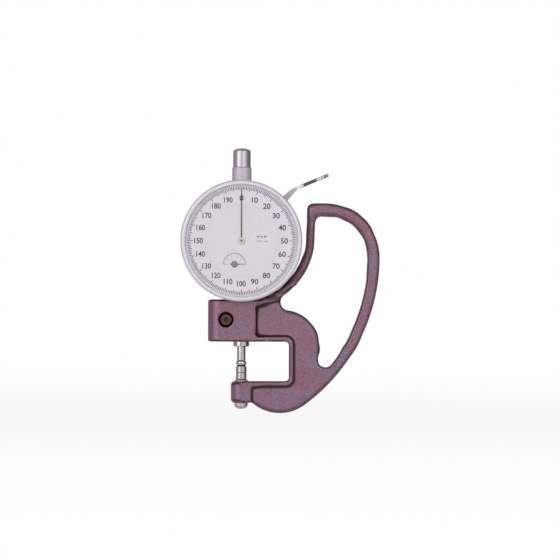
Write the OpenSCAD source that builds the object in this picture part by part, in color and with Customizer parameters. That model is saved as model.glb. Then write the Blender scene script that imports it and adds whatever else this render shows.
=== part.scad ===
// Dial thickness gauge on a cast handle frame: 0.001 mm divisions, 1 mm measuring range.
// Millimetres, +Z up. The origin is the middle of the anvil's measuring face.
// The spindle runs along Z and the dial faces -Y. Values named _f are distances in front of
// the spindle axis, so a point at f lies at Y = -f.

/* [Throat and anvil] */
// Height of the throat, from the lower jaw to the clamp block
throat_h = 18.6; // [17:0.1:22]
// Depth of the throat, from the spindle axis to its back wall
throat_d = 22.4; // [21:0.1:25]
// Corner radius of the throat
throat_corner = 1.6; // [1:0.1:2.4]
// Width of the raised rim around the throat
rim_w = 2.75; // [2:0.05:3.4]
// Thickness of the raised rim
rim_t = 9.7; // [9:0.1:11]
// Height of the anvil face above the lower jaw
anvil_proud = 0.75; // [0.5:0.05:1.2]
// Diameter of the anvil
anvil_d = 6.3; // [5.6:0.1:6.8]
// Diameter of the boss that holds the anvil
boss_d = 9.8; // [9.2:0.1:10.6]
// Height of the anvil boss
boss_h = 10.55; // [9.5:0.05:11.5]

/* [Clamp block] */
// Height of the block that clamps the stem
block_h = 19.85; // [17:0.05:23]
// Reach of the block to the left of the spindle axis
block_left = 15.8; // [14.5:0.1:17]
// Reach of the block to the right of the spindle axis
block_right = 7.1; // [6.6:0.1:8]
// Thickness of the block
block_t = 13; // [12:0.1:13.4]
// Width of the clamping slit
slit_w = 1; // [0.6:0.1:1.4]
// Distance of the clamp screw from the spindle axis
screw_x = 7.2; // [6.9:0.1:8]
// Depth of the screw head below the face of the block
screw_sunk = 1.2; // [0.8:0.1:1.6]

/* [Frame casting] */
// Thickness of the web, the arm and the handle
web_t = 8; // [7:0.1:9]
// Rounding along the edges of the casting
edge_round = 1.7; // [1:0.1:1.8]
// Width of the web between the throat and the back of the casting
web_w = 14.3; // [13:0.1:15]
// Radius of the back of the casting
back_r = 17; // [16.4:0.1:17.6]
// Radius of the underside of the casting
foot_r = 19.8; // [19:0.1:20.4]
// Depth of the underside below the anvil face
foot_drop = 15.8; // [15:0.1:16.4]
// Space between the dial case and the arm
arm_clear = 3.4; // [3:0.1:4]
// Width of the arm beside the dial
arm_w = 3.9; // [3.7:0.1:4.6]
// Radius of the two fillets between arm, web and handle
inner_fillet = 3.9; // [3.4:0.1:4.4]

/* [Handle] */
// Reach of the handle from the spindle axis
handle_reach = 65; // [63:0.5:68]
// Height of the widest point of the handle
handle_z = 57.3; // [55:0.1:59]
// Radius of the long limb of the handle
limb_r = 85.7; // [84:0.1:88]
// Radius of the top bend of the handle
top_r = 25.8; // [25:0.1:26.5]
// Width of the handle bar
bar_w = 5.6; // [5:0.1:6.2]

/* [Dial case] */
// Diameter of the bezel
bezel_d = 57; // [56:0.1:58]
// Wall between the bezel's outside and the case
bezel_wall = 2; // [1.8:0.05:2.2]
// Wall of the case
case_wall = 2; // [1.6:0.1:2.2]
// Gap between the clamp block and the case
case_gap = 1; // [0.6:0.1:2]
// Radius where the fixed dial plate ends and the turning scale begins
plate_r = 17.05; // [16:0.05:18]
// Thickness of the crystal
crystal_t = 1.4; // [1:0.1:1.5]
// Length of the pointer
pointer_l = 24.8; // [22:0.1:25]
// Length of the counter hand
counter_l = 5.1; // [4:0.1:5.6]

/* [Stem and spindle] */
// Diameter of the clamped stem
stem_d = 8; // [7.6:0.1:8.4]
// Length of the stem nose below the block
nose_l = 2.4; // [1.5:0.1:3.5]
// Diameter of the spindle
spindle_d = 4; // [3.8:0.05:4.1]
// Length of the contact point
contact_l = 9.1; // [8:0.1:11]
// Diameter of the contact point
contact_d = 5.1; // [4.6:0.1:5.8]
// Diameter of the upper sleeve
sleeve_d = 9.1; // [8.6:0.1:9.6]
// Length of the upper sleeve above the case
sleeve_l = 8.2; // [6:0.1:10]
// Diameter of the dust cap
cap_d = 8.25; // [7.8:0.05:8.5]
// Length of the dust cap
cap_l = 9; // [8:0.1:12]

/* [Lifting lever] */
// Thickness of the lever strip
lever_t = 1.5; // [1.2:0.1:1.8]
// Width of the thumb end
thumb_w = 7; // [5:0.1:9]
// Length of the straight thumb end
thumb_l = 14.2; // [10:0.1:16]
// Slope of the thumb end in degrees
thumb_slope = 22.3; // [18:0.1:26]

/* [Hidden] */
$fn = 96;
paint = "#7b5866";
satin = "#c9c6cb";
steel = "#b4b2b5";
brass_tone = "#c9a45c";
dark = "#2c2a2b";
// Named clearances
run_gap = 0.03;
seat_gap = 0.02;
bezel_gap = 0.05;
mesh_gap = 0.05;
over = 1;
// Depth by which neighbouring arcs of the casting run into each other
blend = 0.04;

// Heights and radii that follow from the sizes above
jaw_z = -anvil_proud;
throat_top = throat_h + jaw_z;
block_top = throat_top + block_h;
bezel_r = bezel_d / 2;
case_r = bezel_r - bezel_wall;
case_in = case_r - case_wall;
dial_z = block_top + case_gap + case_r;
case_bottom = dial_z - case_r;
case_top = dial_z + case_r;
sleeve_top = case_top + sleeve_l;
cap_top = sleeve_top + cap_l;

// Centres of the circles that bound the casting, in the front view
arm_in = case_r + arm_clear;
arm_out = arm_in + arm_w;
arm_c = [0.8, block_top + arm_in - 0.2];
limb_in = limb_r - bar_w;
limb_c = [handle_reach - limb_r, handle_z];
top_c = [handle_reach - top_r, handle_z];
top_in = top_r - bar_w;
bar_top = handle_z + top_r;
back_c = [throat_d + web_w - back_r, throat_top - 2.05];
foot_z = foot_r - foot_drop;
foot_c = [limb_c[0] + sqrt(pow(limb_r - foot_r + blend, 2) - pow(foot_z - handle_z, 2)), foot_z];
notch_reach = inner_fillet - blend;
notch_c = circles_meet(arm_c, arm_out + notch_reach, back_c, back_r + notch_reach, 1);
pocket_c = circles_meet(back_c, back_r + notch_reach, limb_c, limb_in - notch_reach, -1);
corner_r = 2;
loop_corner = 2.1;
pad_corner = 0.9;
ramp_l = 5;
taper_l = 13;
taper_dir = 37;
boss_bottom = jaw_z - boss_h;

// Layers of the indicator, as distances in front of the spindle axis
cover_f = [-7.5, -6];
floor_f = [8, 9.5];
pad_f = 10;
bezel_back_f = 7.2;
ring_f = [10.05, 10.65];
pointer_f = [12, 12.25];
crystal_f = 13.9;
bezel_front_f = crystal_f + crystal_t + 1;
plate_f = [2.4, 3.6];
cock_f = [-3.6, -2.6];
first_f = [4.7, 5.4];
second_f = [5.8, 6.5];
counter_f = [6.9, 7.6];

// Gear train: rack, 16 to 100, 10 to 60, 12 on the pointer, 120 on the counter hand
rack_pitch = 0.625;
rack_m = rack_pitch / PI;
wheel_m = 0.173;
rack_n = 16;
first_n = 100;
second_pn = 10;
second_n = 60;
centre_n = 12;
counter_n = 120;
rack_x = 1.4;
first_p = [rack_x + rack_m * rack_n / 2 + mesh_gap, 10];
counter_dir = -106.45;
counter_reach = wheel_m * (centre_n + counter_n) / 2;
counter_p = counter_reach * [cos(counter_dir), sin(counter_dir)];
first_reach = wheel_m * (first_n + second_pn) / 2;
second_reach = wheel_m * (second_n + centre_n) / 2;
second_p = circles_meet(first_p, first_reach, [0, 0], second_reach, 1);
first_dir = atan2(second_p[1] - first_p[1], second_p[0] - first_p[0]);
second_dir = atan2(-second_p[1], -second_p[0]);
second_phase = mesh_phase(0, first_n, second_pn, first_dir);
centre_phase = mesh_phase(0, second_n, centre_n, second_dir);
counter_phase = mesh_phase(centre_phase, centre_n, counter_n, counter_dir);
arbor_r = 0.6;
pivot_r = 0.36;

// Places on the movement, measured from the dial centre in the front view
pillar_p = [[-16, 3], [14, -12], [16.5, 5.5]];
cock_foot_p = [9, 6.5];
lever_p = [14.2, 11.4];
lever_bend_r = 8;
lever_dir = 50;
lift_pin_z = 14.2;
side_pin_r = 0.75;
guide_z = -4;
spring_x = -8.2;
spring_post_z = -15.5;
lug_r = 2;
lug_ring = case_in - lug_r + 0.1;
lug_dirs = [0, 120, 240];
bush_r = 2.6;
spigot_r = 3;
boss_in = 20.5;

// One of the two points where two circles meet: side 1 lies left of the way from a to b, -1 right
function circles_meet(a, ra, b, rb, side) =
    let (
        d = norm(b - a),
        u = (b - a) / d,
        s = (d * d + ra * ra - rb * rb) / (2 * d),
        h = side * sqrt(ra * ra - s * s)
    )
    a + s * u + h * [-u[1], u[0]];

// Direction of one tooth of the driven gear, so that it meshes with the driver
function mesh_phase(phase, n_driver, n_driven, dir) =
    dir + 180 - (phase - dir) * n_driver / n_driven + 180 / n_driven;

// Outline of a gear: the flank is a list of [radius, half width of the tooth]
function gear_points(n, phase, flank) = [
    for (i = [0 : n - 1])
        let (a = phase + 360 * i / n)
        each concat(
            [for (p = flank) tooth_point(p, a, -1)],
            [for (k = [len(flank) - 1 : -1 : 0]) tooth_point(flank[k], a, 1)]
        )
];
function tooth_point(p, a, side) =
    let (b = a + side * asin(p[1] / p[0]))
    p[0] * [cos(b), sin(b)];
function wheel_flank(n, m) = [
    [n * m / 2 - 1.3 * m, 0.85 * m],
    [n * m / 2 + 0.85 * m, 0.3 * m]
];
function pinion_flank(n, m) = [
    [n * m / 2 - 1.15 * m, 0.42 * m],
    [n * m / 2, 0.6 * m],
    [n * m / 2 + 0.7 * m, 0.3 * m]
];
function dome_points(r, z_edge, z_top) = [
    for (i = [0 : 10])
        let (a = 9 * i)
        [r * cos(a), z_edge + (z_top - z_edge) * sin(a)]
];

// Placing helpers: drawings made in the front view and turned profiles of radius and distance in front
module layer(f0, f1) translate([0, -f0, 0]) rotate([90, 0, 0]) linear_extrude(f1 - f0) children();
module pin_y(r, f0, f1) translate([0, -f0, 0]) rotate([90, 0, 0]) cylinder(r = r, h = f1 - f0);
module turned() rotate([90, 0, 0]) rotate_extrude() children();
module on_dial(p) translate([p[0], 0, dial_z + p[1]]) children();
module standing(z0, z1, r) translate([0, 0, z0]) cylinder(r = r, h = z1 - z0);
module swept(c, a0, a1) translate([c[0], 0, c[1]]) rotate([90, 0, 0]) rotate([0, 0, a0])
    rotate_extrude(angle = a1 - a0) children();
module gear(n, phase, flank, f0, f1, bore) layer(f0, f1) difference() {
    polygon(gear_points(n, phase, flank));
    if (bore > 0) circle(bore);
}

// Cross-sections of the casting's rounded bars
module edge_corner(x, y, e, turn) translate([x, y]) rotate(turn) translate([-e, -e]) difference() {
    square(e + over);
    circle(e);
}
module bar_section(r0, r1, t, e) difference() {
    translate([r0, -t / 2]) square([r1 - r0, t]);
    edge_corner(r1, t / 2, e, 0);
    edge_corner(r0, t / 2, e, 90);
    edge_corner(r0, -t / 2, e, 180);
    edge_corner(r1, -t / 2, e, 270);
}
module disc_section(r, t, e) difference() {
    translate([0, -t / 2]) square([r, t]);
    edge_corner(r, t / 2, e, 0);
    edge_corner(r, -t / 2, e, 270);
}
// Cutter for a concave fillet whose edges flare outward at both faces
module spool_section(r, t, e) {
    translate([0, -t / 2 - over]) square([r, t + 2 * over]);
    difference() {
        translate([r - 0.2, t / 2 - e]) square([e + 0.2, e + over]);
        translate([r + e, t / 2 - e]) circle(e);
    }
    difference() {
        translate([r - 0.2, -t / 2 - over]) square([e + 0.2, e + over]);
        translate([r + e, e - t / 2]) circle(e);
    }
}
module bar_along_x(x0, x1, z0, z1) translate([x0, 0, 0]) rotate([90, 0, 90])
    linear_extrude(x1 - x0) rotate(90) bar_section(z0, z1, web_t, edge_round);
module bar_along_z(z0, z1, x0, x1) translate([0, 0, z0])
    linear_extrude(z1 - z0) bar_section(x0, x1, web_t, edge_round);
module web_plate(points) layer(-web_t / 2, web_t / 2) polygon(points);

// Body of the casting between throat, arm and handle
module web() {
    limb_dir = atan2(pocket_c[1] - limb_c[1], pocket_c[0] - limb_c[0]);
    foot_dir = atan2(foot_c[1] - limb_c[1], foot_c[0] - limb_c[0]);
    mid = limb_r - bar_w / 2;
    swept(back_c, 0, 360) disc_section(back_r, web_t, edge_round);
    swept(foot_c, 0, 360) disc_section(foot_r, web_t, edge_round);
    difference() {
        web_plate([
            foot_c,
            limb_c + mid * [cos(foot_dir), sin(foot_dir)],
            limb_c + mid * [cos(limb_dir), sin(limb_dir)],
            pocket_c,
            back_c
        ]);
        swept(pocket_c, 0, 360) spool_section(inner_fillet, web_t, edge_round);
    }
    difference() {
        web_plate([[block_right - 3, throat_top], back_c, notch_c, arm_c]);
        swept(notch_c, 0, 360) spool_section(inner_fillet, web_t, edge_round);
        on_front(arm_c) pin_y(arm_in + arm_w / 2, -web_t, web_t);
    }
}
module on_front(p) translate([p[0], 0, p[1]]) children();

// Arm that passes behind the dial's lower right and rises to the top of the handle
module arm() {
    swept(arm_c, -100, 0) bar_section(arm_in, arm_out, web_t, edge_round);
    bar_along_z(arm_c[1], bar_top - corner_r, arm_c[0] + arm_in, arm_c[0] + arm_out);
}

// Handle loop: top bar, top bend and the long limb down to the foot
module handle() {
    arm_x = arm_c[0] + arm_in;
    foot_dir = atan2(foot_c[1] - limb_c[1], foot_c[0] - limb_c[0]);
    fillet_c = [arm_c[0] + arm_out + loop_corner - blend, bar_top - bar_w - loop_corner + blend];
    swept([arm_x + corner_r, bar_top - corner_r], 90, 180) disc_section(corner_r, web_t, edge_round);
    bar_along_x(arm_x + corner_r, top_c[0], bar_top - bar_w, bar_top);
    swept(top_c, 0, 90) bar_section(top_in, top_r, web_t, edge_round);
    swept(limb_c, foot_dir, 0) bar_section(limb_in, limb_r, web_t, edge_round);
    difference() {
        web_plate([
            fillet_c,
            fillet_c + [0, loop_corner + edge_round],
            fillet_c + [-loop_corner - edge_round, loop_corner + edge_round],
            fillet_c + [-loop_corner - edge_round, 0]
        ]);
        on_front(fillet_c) swept([0, 0], 0, 360) spool_section(loop_corner, web_t, edge_round);
    }
}

// Outline of the throat, grown by a margin
module throat_outline(grow, corner) {
    x0 = -block_left - 10;
    x1 = throat_d + grow;
    z0 = jaw_z - grow;
    z1 = throat_top + grow;
    translate([x0, z0]) square([x1 - corner - x0, z1 - z0]);
    translate([x0, z0 + corner]) square([x1 - x0, z1 - z0 - 2 * corner]);
    for (z = [z0 + corner, z1 - corner]) translate([x1 - corner, z]) circle(corner);
}
// Raised rim of the throat with the pad on the boss, and the rounded inner corners of both
module rim() layer(-rim_t / 2, rim_t / 2) {
    intersection() {
        throat_outline(rim_w, throat_corner + rim_w * 0.9);
        translate([0.5, jaw_z - rim_w - 1]) square([throat_d + rim_w + 2, throat_h + 2 * rim_w + 2]);
    }
    translate([0.5, boss_bottom + 0.5]) square([boss_d / 2 - 0.5, boss_h - 0.5]);
    edge_corner(boss_d / 2, jaw_z - rim_w, pad_corner, 90);
    edge_corner(block_right, throat_top + rim_w, throat_corner, 180);
}

// Raised land where the arm leaves the block
module land() layer(-rim_t / 2, rim_t / 2) difference() {
    union() {
        edge_corner(block_right, block_top - 3.05, throat_corner, 90);
        polygon([
            [0.5, block_top - 4],
            [block_right, block_top - 3.6],
            [17.6, block_top - 0.2],
            arm_c,
            [0.5, block_top]
        ]);
    }
    translate(arm_c) circle(arm_in + 0.5);
}

// Ramps that run the block's face out into the rim and into the land
module ramps() for (z = [[throat_top - over, throat_top + rim_w - blend], [block_top - 3.2, block_top - blend]])
    translate([0, 0, z[0]]) linear_extrude(z[1] - z[0]) polygon([
        [block_right - 1, blend - block_t / 2],
        [block_right + 0.4, blend - block_t / 2],
        [block_right + ramp_l, blend - rim_t / 2],
        [block_right + ramp_l, rim_t / 2 - blend],
        [block_right + 0.4, block_t / 2 - blend],
        [block_right - 1, block_t / 2 - blend]
    ]);

// Taper from the land down to the thinner arm, laid along the arm's arc
module taper() {
    taper_w = arm_w - 0.8;
    on_front(arm_c) rotate([0, -taper_dir, 0])
        translate([-taper_l / 2, 0, -arm_in - (arm_w + taper_w) / 2]) linear_extrude(taper_w) polygon([
            [0, blend - rim_t / 2],
            [taper_l, 0.3 - web_t / 2],
            [taper_l, web_t / 2 - 0.3],
            [0, rim_t / 2 - blend]
        ]);
}

// Clamp block with a rounded left end, split by a slit
module block() intersection() {
    translate([0, 0, throat_top]) linear_extrude(block_h) {
        translate([-block_left + 6, -block_t / 2]) square([block_left + block_right - 6, block_t]);
        translate([-block_left, -block_t / 2 + 6]) square([block_left, block_t - 12]);
        for (s = [-1, 1]) translate([-block_left + 6, s * (block_t / 2 - 6)]) circle(6);
    }
    layer(-block_t, block_t) difference() {
        translate([-block_left, throat_top]) square([block_left + block_right, block_h]);
        edge_corner(-block_left, block_top, 1.3, 90);
        edge_corner(-block_left, throat_top, 0.8, 180);
    }
}
module boss() rotate_extrude() polygon([
    [0, boss_bottom],
    [boss_d / 2 - 1.3, boss_bottom],
    [boss_d / 2, boss_bottom + 1.4],
    [boss_d / 2, jaw_z - 1.2],
    [boss_d / 2 - 1.1, jaw_z],
    [0, jaw_z]
]);

module frame() color(paint) difference() {
    union() {
        web();
        arm();
        handle();
        rim();
        land();
        ramps();
        taper();
        block();
        boss();
    }
    layer(-block_t, block_t) throat_outline(0, throat_corner);
    standing(throat_top - over, block_top + over, stem_d / 2 + seat_gap);
    translate([-block_left - over, -slit_w / 2, throat_top - over])
        cube([block_left + over - 2, slit_w, block_h + 2 * over]);
    on_front([-screw_x, clamp_z()]) {
        pin_y(1.55, -block_t, block_t);
        pin_y(3.45, screw_seat(), block_t);
    }
    standing(boss_bottom - 6, jaw_z + over, anvil_d / 2 + seat_gap);
}
function clamp_z() = throat_top + 0.52 * block_h;
function screw_seat() = block_t / 2 - screw_sunk - 3;

module anvil() color(steel) rotate_extrude() polygon(concat(
    [for (k = [10 : -1 : 0]) dome_points(anvil_d / 2, boss_bottom - 1, boss_bottom - 2.6)[k]],
    [[anvil_d / 2, -0.45], [anvil_d / 2 - 0.4, 0], [0, 0]]
));

module clamp_screw() color(dark) on_front([-screw_x, clamp_z()]) difference() {
    union() {
        pin_y(1.5, 1 - block_t / 2, screw_seat() + 0.1);
        turned() polygon([
            [0, screw_seat()],
            [2.7, screw_seat()],
            [2.7, screw_seat() + 2.7],
            [2.4, screw_seat() + 3],
            [0, screw_seat() + 3]
        ]);
    }
    layer(screw_seat() + 1.5, screw_seat() + 4) circle(d = 2.5 / cos(30), $fn = 6);
}

// Cup-shaped case, open at the back
module case_body() color(satin) difference() {
    union() {
        on_dial([0, 0]) turned() polygon([
            [0, floor_f[0]],
            [case_in, floor_f[0]],
            [case_in, cover_f[1]],
            [case_r, cover_f[1]],
            [case_r, bezel_back_f + 0.6],
            [case_r - 0.5, bezel_back_f + 0.6],
            [case_r - 0.5, bezel_back_f + 1.6],
            [case_r, bezel_back_f + 1.6],
            [case_r, floor_f[1]],
            [plate_r - 0.8, floor_f[1]],
            [plate_r - 0.8, pad_f],
            [0, pad_f]
        ]);
        for (a = lug_dirs) on_dial(lug_ring * [cos(a), sin(a)]) pin_y(lug_r, cover_f[1], -1);
        standing(case_bottom + 1, dial_z - boss_in, 5.2);
        standing(dial_z + boss_in, case_top - 1, 5.2);
    }
    standing(case_bottom - over, dial_z - boss_in + over, spigot_r + seat_gap);
    standing(dial_z + boss_in - over, case_top + over, spigot_r + seat_gap);
    for (a = lug_dirs) on_dial(lug_ring * [cos(a), sin(a)]) pin_y(0.82, cover_f[1] - over, -2);
    for (p = [[0, 0], counter_p]) on_dial(p) pin_y(arbor_r + run_gap, floor_f[0] - over, pad_f + over);
    for (p = [first_p, second_p]) on_dial(p) pin_y(pivot_r + run_gap, floor_f[0] - over, 9.2);
    on_dial(lever_p) rotate([0, -lever_dir, 0]) translate([4, -2.4, -2.3]) cube([14, 4.8, 3.9]);
}

// Turned tube with a spigot that enters the case
module lower_stem() color(steel) rotate_extrude() polygon([
    [bush_r + seat_gap, throat_top - nose_l],
    [stem_d / 2 - 0.6, throat_top - nose_l],
    [stem_d / 2 - 0.25, throat_top - nose_l + 0.4],
    [stem_d / 2 - 0.25, throat_top],
    [stem_d / 2, throat_top + 0.3],
    [stem_d / 2, case_bottom],
    [spigot_r, case_bottom],
    [spigot_r, dial_z - boss_in],
    [bush_r + seat_gap, dial_z - boss_in]
]);
module bush(z0, z1) color(brass_tone) difference() {
    standing(z0, z1, bush_r);
    standing(z0 - over, z1 + over, spindle_d / 2 + run_gap);
}
module stem_bush() bush(throat_top - nose_l + 0.3, throat_top + 8);
module upper_bush() bush(case_top - 4, sleeve_top + 1.5);
module upper_sleeve() color(steel) rotate_extrude() polygon([
    [bush_r + seat_gap, dial_z + boss_in],
    [spigot_r, dial_z + boss_in],
    [spigot_r, case_top],
    [sleeve_d / 2, case_top],
    [sleeve_d / 2, sleeve_top - 0.2],
    [sleeve_d / 2 - 0.2, sleeve_top],
    [spigot_r + 0.2, sleeve_top],
    [spigot_r + 0.2, sleeve_top + 3],
    [bush_r + seat_gap, sleeve_top + 3]
]);
module dust_cap() color(steel) difference() {
    rotate_extrude() polygon(concat(
        [[0, sleeve_top], [cap_d / 2 - 0.2, sleeve_top], [cap_d / 2, sleeve_top + 0.2]],
        dome_points(cap_d / 2, cap_top - 1.6, cap_top)
    ));
    standing(sleeve_top - over, sleeve_top + 3.1, spigot_r + 0.2 + seat_gap);
    standing(sleeve_top + 2, cap_top - 2, bush_r + 0.2);
}

module back_cover() color(satin) difference() {
    on_dial([0, 0]) turned() polygon([
        [0, cover_f[0]],
        [case_r - 0.8, cover_f[0]],
        [case_r - 0.2, cover_f[0] + 0.6],
        [case_r - 0.2, cover_f[1]],
        [0, cover_f[1]]
    ]);
    for (a = lug_dirs) on_dial(lug_ring * [cos(a), sin(a)]) turned() screw_profile(0.9 + seat_gap, 1.85, over);
}
// Countersunk screw profile in the back cover, from the head down
module screw_profile(r_shank, r_head, past) polygon([
    [0, cover_f[0] - past],
    [r_head, cover_f[0] - past],
    [r_head, cover_f[0] + 0.1],
    [r_shank, cover_f[0] + 0.1 + r_head - r_shank],
    [r_shank, cover_f[1] + past],
    [0, cover_f[1] + past]
]);
module back_cover_screws() color(steel)
    for (a = lug_dirs) on_dial(lug_ring * [cos(a), sin(a)]) difference() {
        union() {
            turned() screw_profile(0.85, 1.8, 0);
            pin_y(0.8, cover_f[1] - 0.1, -2.4);
        }
        layer(cover_f[0] - over, cover_f[0] + 0.5) square([4, 0.5], center = true);
    }

// Bezel that turns on the front of the case and carries crystal and scale ring
module bezel() color(satin) on_dial([0, 0]) turned() polygon([
    [case_r + bezel_gap, bezel_back_f],
    [bezel_r - 0.3, bezel_back_f],
    [bezel_r, bezel_back_f + 0.3],
    [bezel_r, bezel_front_f - 1.5],
    [bezel_r - 0.15, bezel_front_f - 0.85],
    [bezel_r - 0.55, bezel_front_f - 0.25],
    [bezel_r - 1.1, bezel_front_f],
    [case_r + 0.3, bezel_front_f],
    [case_r - 0.1, bezel_front_f - 0.4],
    [case_r - 0.1, crystal_f + crystal_t],
    [case_r + 0.4, crystal_f + crystal_t],
    [case_r + 0.4, crystal_f],
    [case_r - 0.2, crystal_f],
    [case_r - 0.6, ring_f[1] + 0.3],
    [case_r - 0.6, ring_f[1]],
    [case_r + bezel_gap, ring_f[1]],
    [case_r + bezel_gap, bezel_back_f + 1.6],
    [case_r + 0.5, bezel_back_f + 1.6],
    [case_r + 0.5, bezel_back_f + 0.6],
    [case_r + bezel_gap, bezel_back_f + 0.6]
]);
module bezel_retaining_wire() color(steel) on_dial([0, 0]) rotate([90, 0, 0]) rotate([0, 0, 100])
    rotate_extrude(angle = 340) translate([case_r - 0.04, bezel_back_f + 1.1]) circle(0.4, $fn = 24);
module crystal() color("#e8f0f2", 0.35) on_dial([0, 0]) turned() polygon([
    [0, crystal_f],
    [case_r + 0.4 - seat_gap, crystal_f],
    [case_r + 0.4 - seat_gap, crystal_f + crystal_t],
    [0, crystal_f + crystal_t]
]);
module dial_ring() color("#ecebed") on_dial([0, 0]) layer(ring_f[0], ring_f[1]) difference() {
    circle(case_r);
    circle(plate_r + 0.1);
}
module dial_plate() color("#ecebed") on_dial([0, 0]) layer(pad_f, ring_f[1]) difference() {
    circle(plate_r);
    circle(arbor_r + 0.3);
    translate(counter_p) circle(arbor_r + 0.2);
}

// Hands
module pointer() color(dark) on_dial([0, 0]) layer(pointer_f[0], pointer_f[1]) difference() {
    union() {
        circle(1.2);
        polygon([[-0.3, 0], [0.3, 0], [0.2, pointer_l - 0.8], [0, pointer_l], [-0.2, pointer_l - 0.8]]);
    }
    circle(0.95);
}
module pointer_hub() color(brass_tone) on_dial([0, 0]) turned() polygon([
    [arbor_r, pointer_f[0] - 0.6],
    [1.4, pointer_f[0] - 0.6],
    [1.4, pointer_f[0]],
    [0.95, pointer_f[0]],
    [0.95, pointer_f[1]],
    [1.75, pointer_f[1]],
    [1.75, pointer_f[1] + 0.55],
    [1.55, pointer_f[1] + 0.75],
    [arbor_r, pointer_f[1] + 0.75]
]);
module counter_hand() color(dark) on_dial(counter_p) layer(11.15, 11.3) difference() {
    union() {
        circle(0.9);
        polygon([[-1.9, -0.22], [0, -0.26], [counter_l, -0.07], [counter_l, 0.07], [0, 0.26], [-1.9, 0.22]]);
    }
    circle(0.7);
}
module counter_hub() color(dark) on_dial(counter_p) turned() polygon([
    [arbor_r - 0.1, 10.9],
    [1.1, 10.9],
    [1.1, 11.15],
    [0.7, 11.15],
    [0.7, 11.3],
    [1.45, 11.3],
    [1.45, 11.6],
    [1.3, 11.7],
    [arbor_r - 0.1, 11.7]
]);

// Movement plate, its pillars and screws
module movement_plate() color(brass_tone) on_dial([0, 0]) layer(plate_f[0], plate_f[1]) difference() {
    circle(boss_in - 1);
    translate(first_p) circle(arbor_r + 0.4);
    for (p = [[0, 0], second_p, counter_p]) translate(p) circle(pivot_r + run_gap);
    for (p = pillar_p) translate(p) circle(0.82);
    for (p = [cock_foot_p, lever_p]) translate(p) circle(0.82);
    translate([spring_x, spring_post_z]) circle(0.8 + seat_gap);
    translate(stud_p()) circle(0.5 + seat_gap);
}
module movement_pillars() color(brass_tone) for (p = pillar_p) on_dial(p) difference() {
    pin_y(1.5, plate_f[1], floor_f[0]);
    pin_y(0.82, plate_f[1] - over, floor_f[0] - 1.2);
}
module cheese_screw(f_seat, f_end) difference() {
    union() {
        pin_y(1.4, f_seat - 0.8, f_seat);
        pin_y(0.8, f_seat - 0.1, f_end);
    }
    layer(f_seat - 0.8 - over, f_seat - 0.4) square([4, 0.4], center = true);
}
module movement_screws() color(steel) {
    for (p = pillar_p) on_dial(p) cheese_screw(plate_f[0], floor_f[0] - 1.4);
    on_dial(cock_foot_p) cheese_screw(cock_f[0], plate_f[1] - 0.1);
}
module pinion_cock() color(brass_tone) difference() {
    union() {
        on_dial([0, 0]) layer(cock_f[0], cock_f[1]) {
            translate(first_p) circle(1.6);
            polygon([
                first_p + [-0.6, -1.4],
                cock_foot_p + [-0.6, -1.5],
                cock_foot_p + [0.7, 1.5],
                first_p + [0.7, 1.4]
            ]);
        }
        on_dial(cock_foot_p) pin_y(1.7, cock_f[0], plate_f[0]);
    }
    on_dial(cock_foot_p) pin_y(0.82, cock_f[0] - over, plate_f[0] + over);
    on_dial(first_p) pin_y(pivot_r + run_gap, cock_f[0] - over, cock_f[1] + over);
}

// Arbors and wheels
module arbor(f0, f1, f_pivot0, f_pivot1) {
    pin_y(arbor_r, f0, f1);
    pin_y(pivot_r, f_pivot0, f_pivot1);
}
module rack_pinion() color(steel) on_dial(first_p) {
    gear(rack_n, 180 + 180 / rack_n, pinion_flank(rack_n, rack_m), -1.3, 1.3, 0);
    arbor(cock_f[1] + 0.1, floor_f[0] - 0.1, cock_f[0] + 0.1, 9);
}
module first_wheel() color(brass_tone) on_dial(first_p)
    gear(first_n, 0, wheel_flank(first_n, wheel_m), first_f[0], first_f[1], arbor_r);
module second_pinion() color(steel) on_dial(second_p) {
    gear(second_pn, second_phase, pinion_flank(second_pn, wheel_m), first_f[0] - 0.3, first_f[1] + 0.3, 0);
    arbor(plate_f[1] + 0.1, floor_f[0] - 0.1, plate_f[0] + 0.1, 9);
}
module second_wheel() color(brass_tone) on_dial(second_p)
    gear(second_n, 0, wheel_flank(second_n, wheel_m), second_f[0], second_f[1], arbor_r);
module centre_pinion() color(steel) on_dial([0, 0]) {
    gear(centre_n, centre_phase, pinion_flank(centre_n, wheel_m), second_f[0] - 0.2, counter_f[1] + 0.2, 0);
    arbor(plate_f[1] + 0.1, 13.1, plate_f[0] + 0.1, plate_f[1] + 0.2);
}
module counter_arbor() color(steel) on_dial(counter_p) {
    arbor(plate_f[1] + 0.1, 10.8, plate_f[0] + 0.1, plate_f[1] + 0.2);
    pin_y(arbor_r - 0.1, 10.7, 11.8);
}
module counter_wheel() color(brass_tone) on_dial(counter_p)
    gear(counter_n, counter_phase, wheel_flank(counter_n, wheel_m), counter_f[0], counter_f[1], arbor_r);

// Hairspring that takes up the play in the train
hair_in = 1.3;
hair_out = 4.3;
hair_turns = 6;
hair_w = 0.12;
function hair_radius(k) = hair_in + (hair_out - hair_in) * k / (24 * hair_turns);
function stud_p() = counter_p + [hair_out + 0.45, 0];
module hairspring() color(steel) on_dial(counter_p) layer(4.9, 5.4) polygon(concat(
    [for (k = [0 : 24 * hair_turns]) hair_radius(k) * [cos(15 * k), sin(15 * k)]],
    [for (k = [24 * hair_turns : -1 : 0]) (hair_radius(k) - hair_w) * [cos(15 * k), sin(15 * k)]]
));
module hairspring_collet() color(brass_tone) on_dial(counter_p) layer(4.6, 5.7) difference() {
    circle(1.1);
    circle(arbor_r);
}
module hairspring_stud() color(steel) on_dial(stud_p()) pin_y(0.5, plate_f[0] + 0.1, 5.6);

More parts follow.
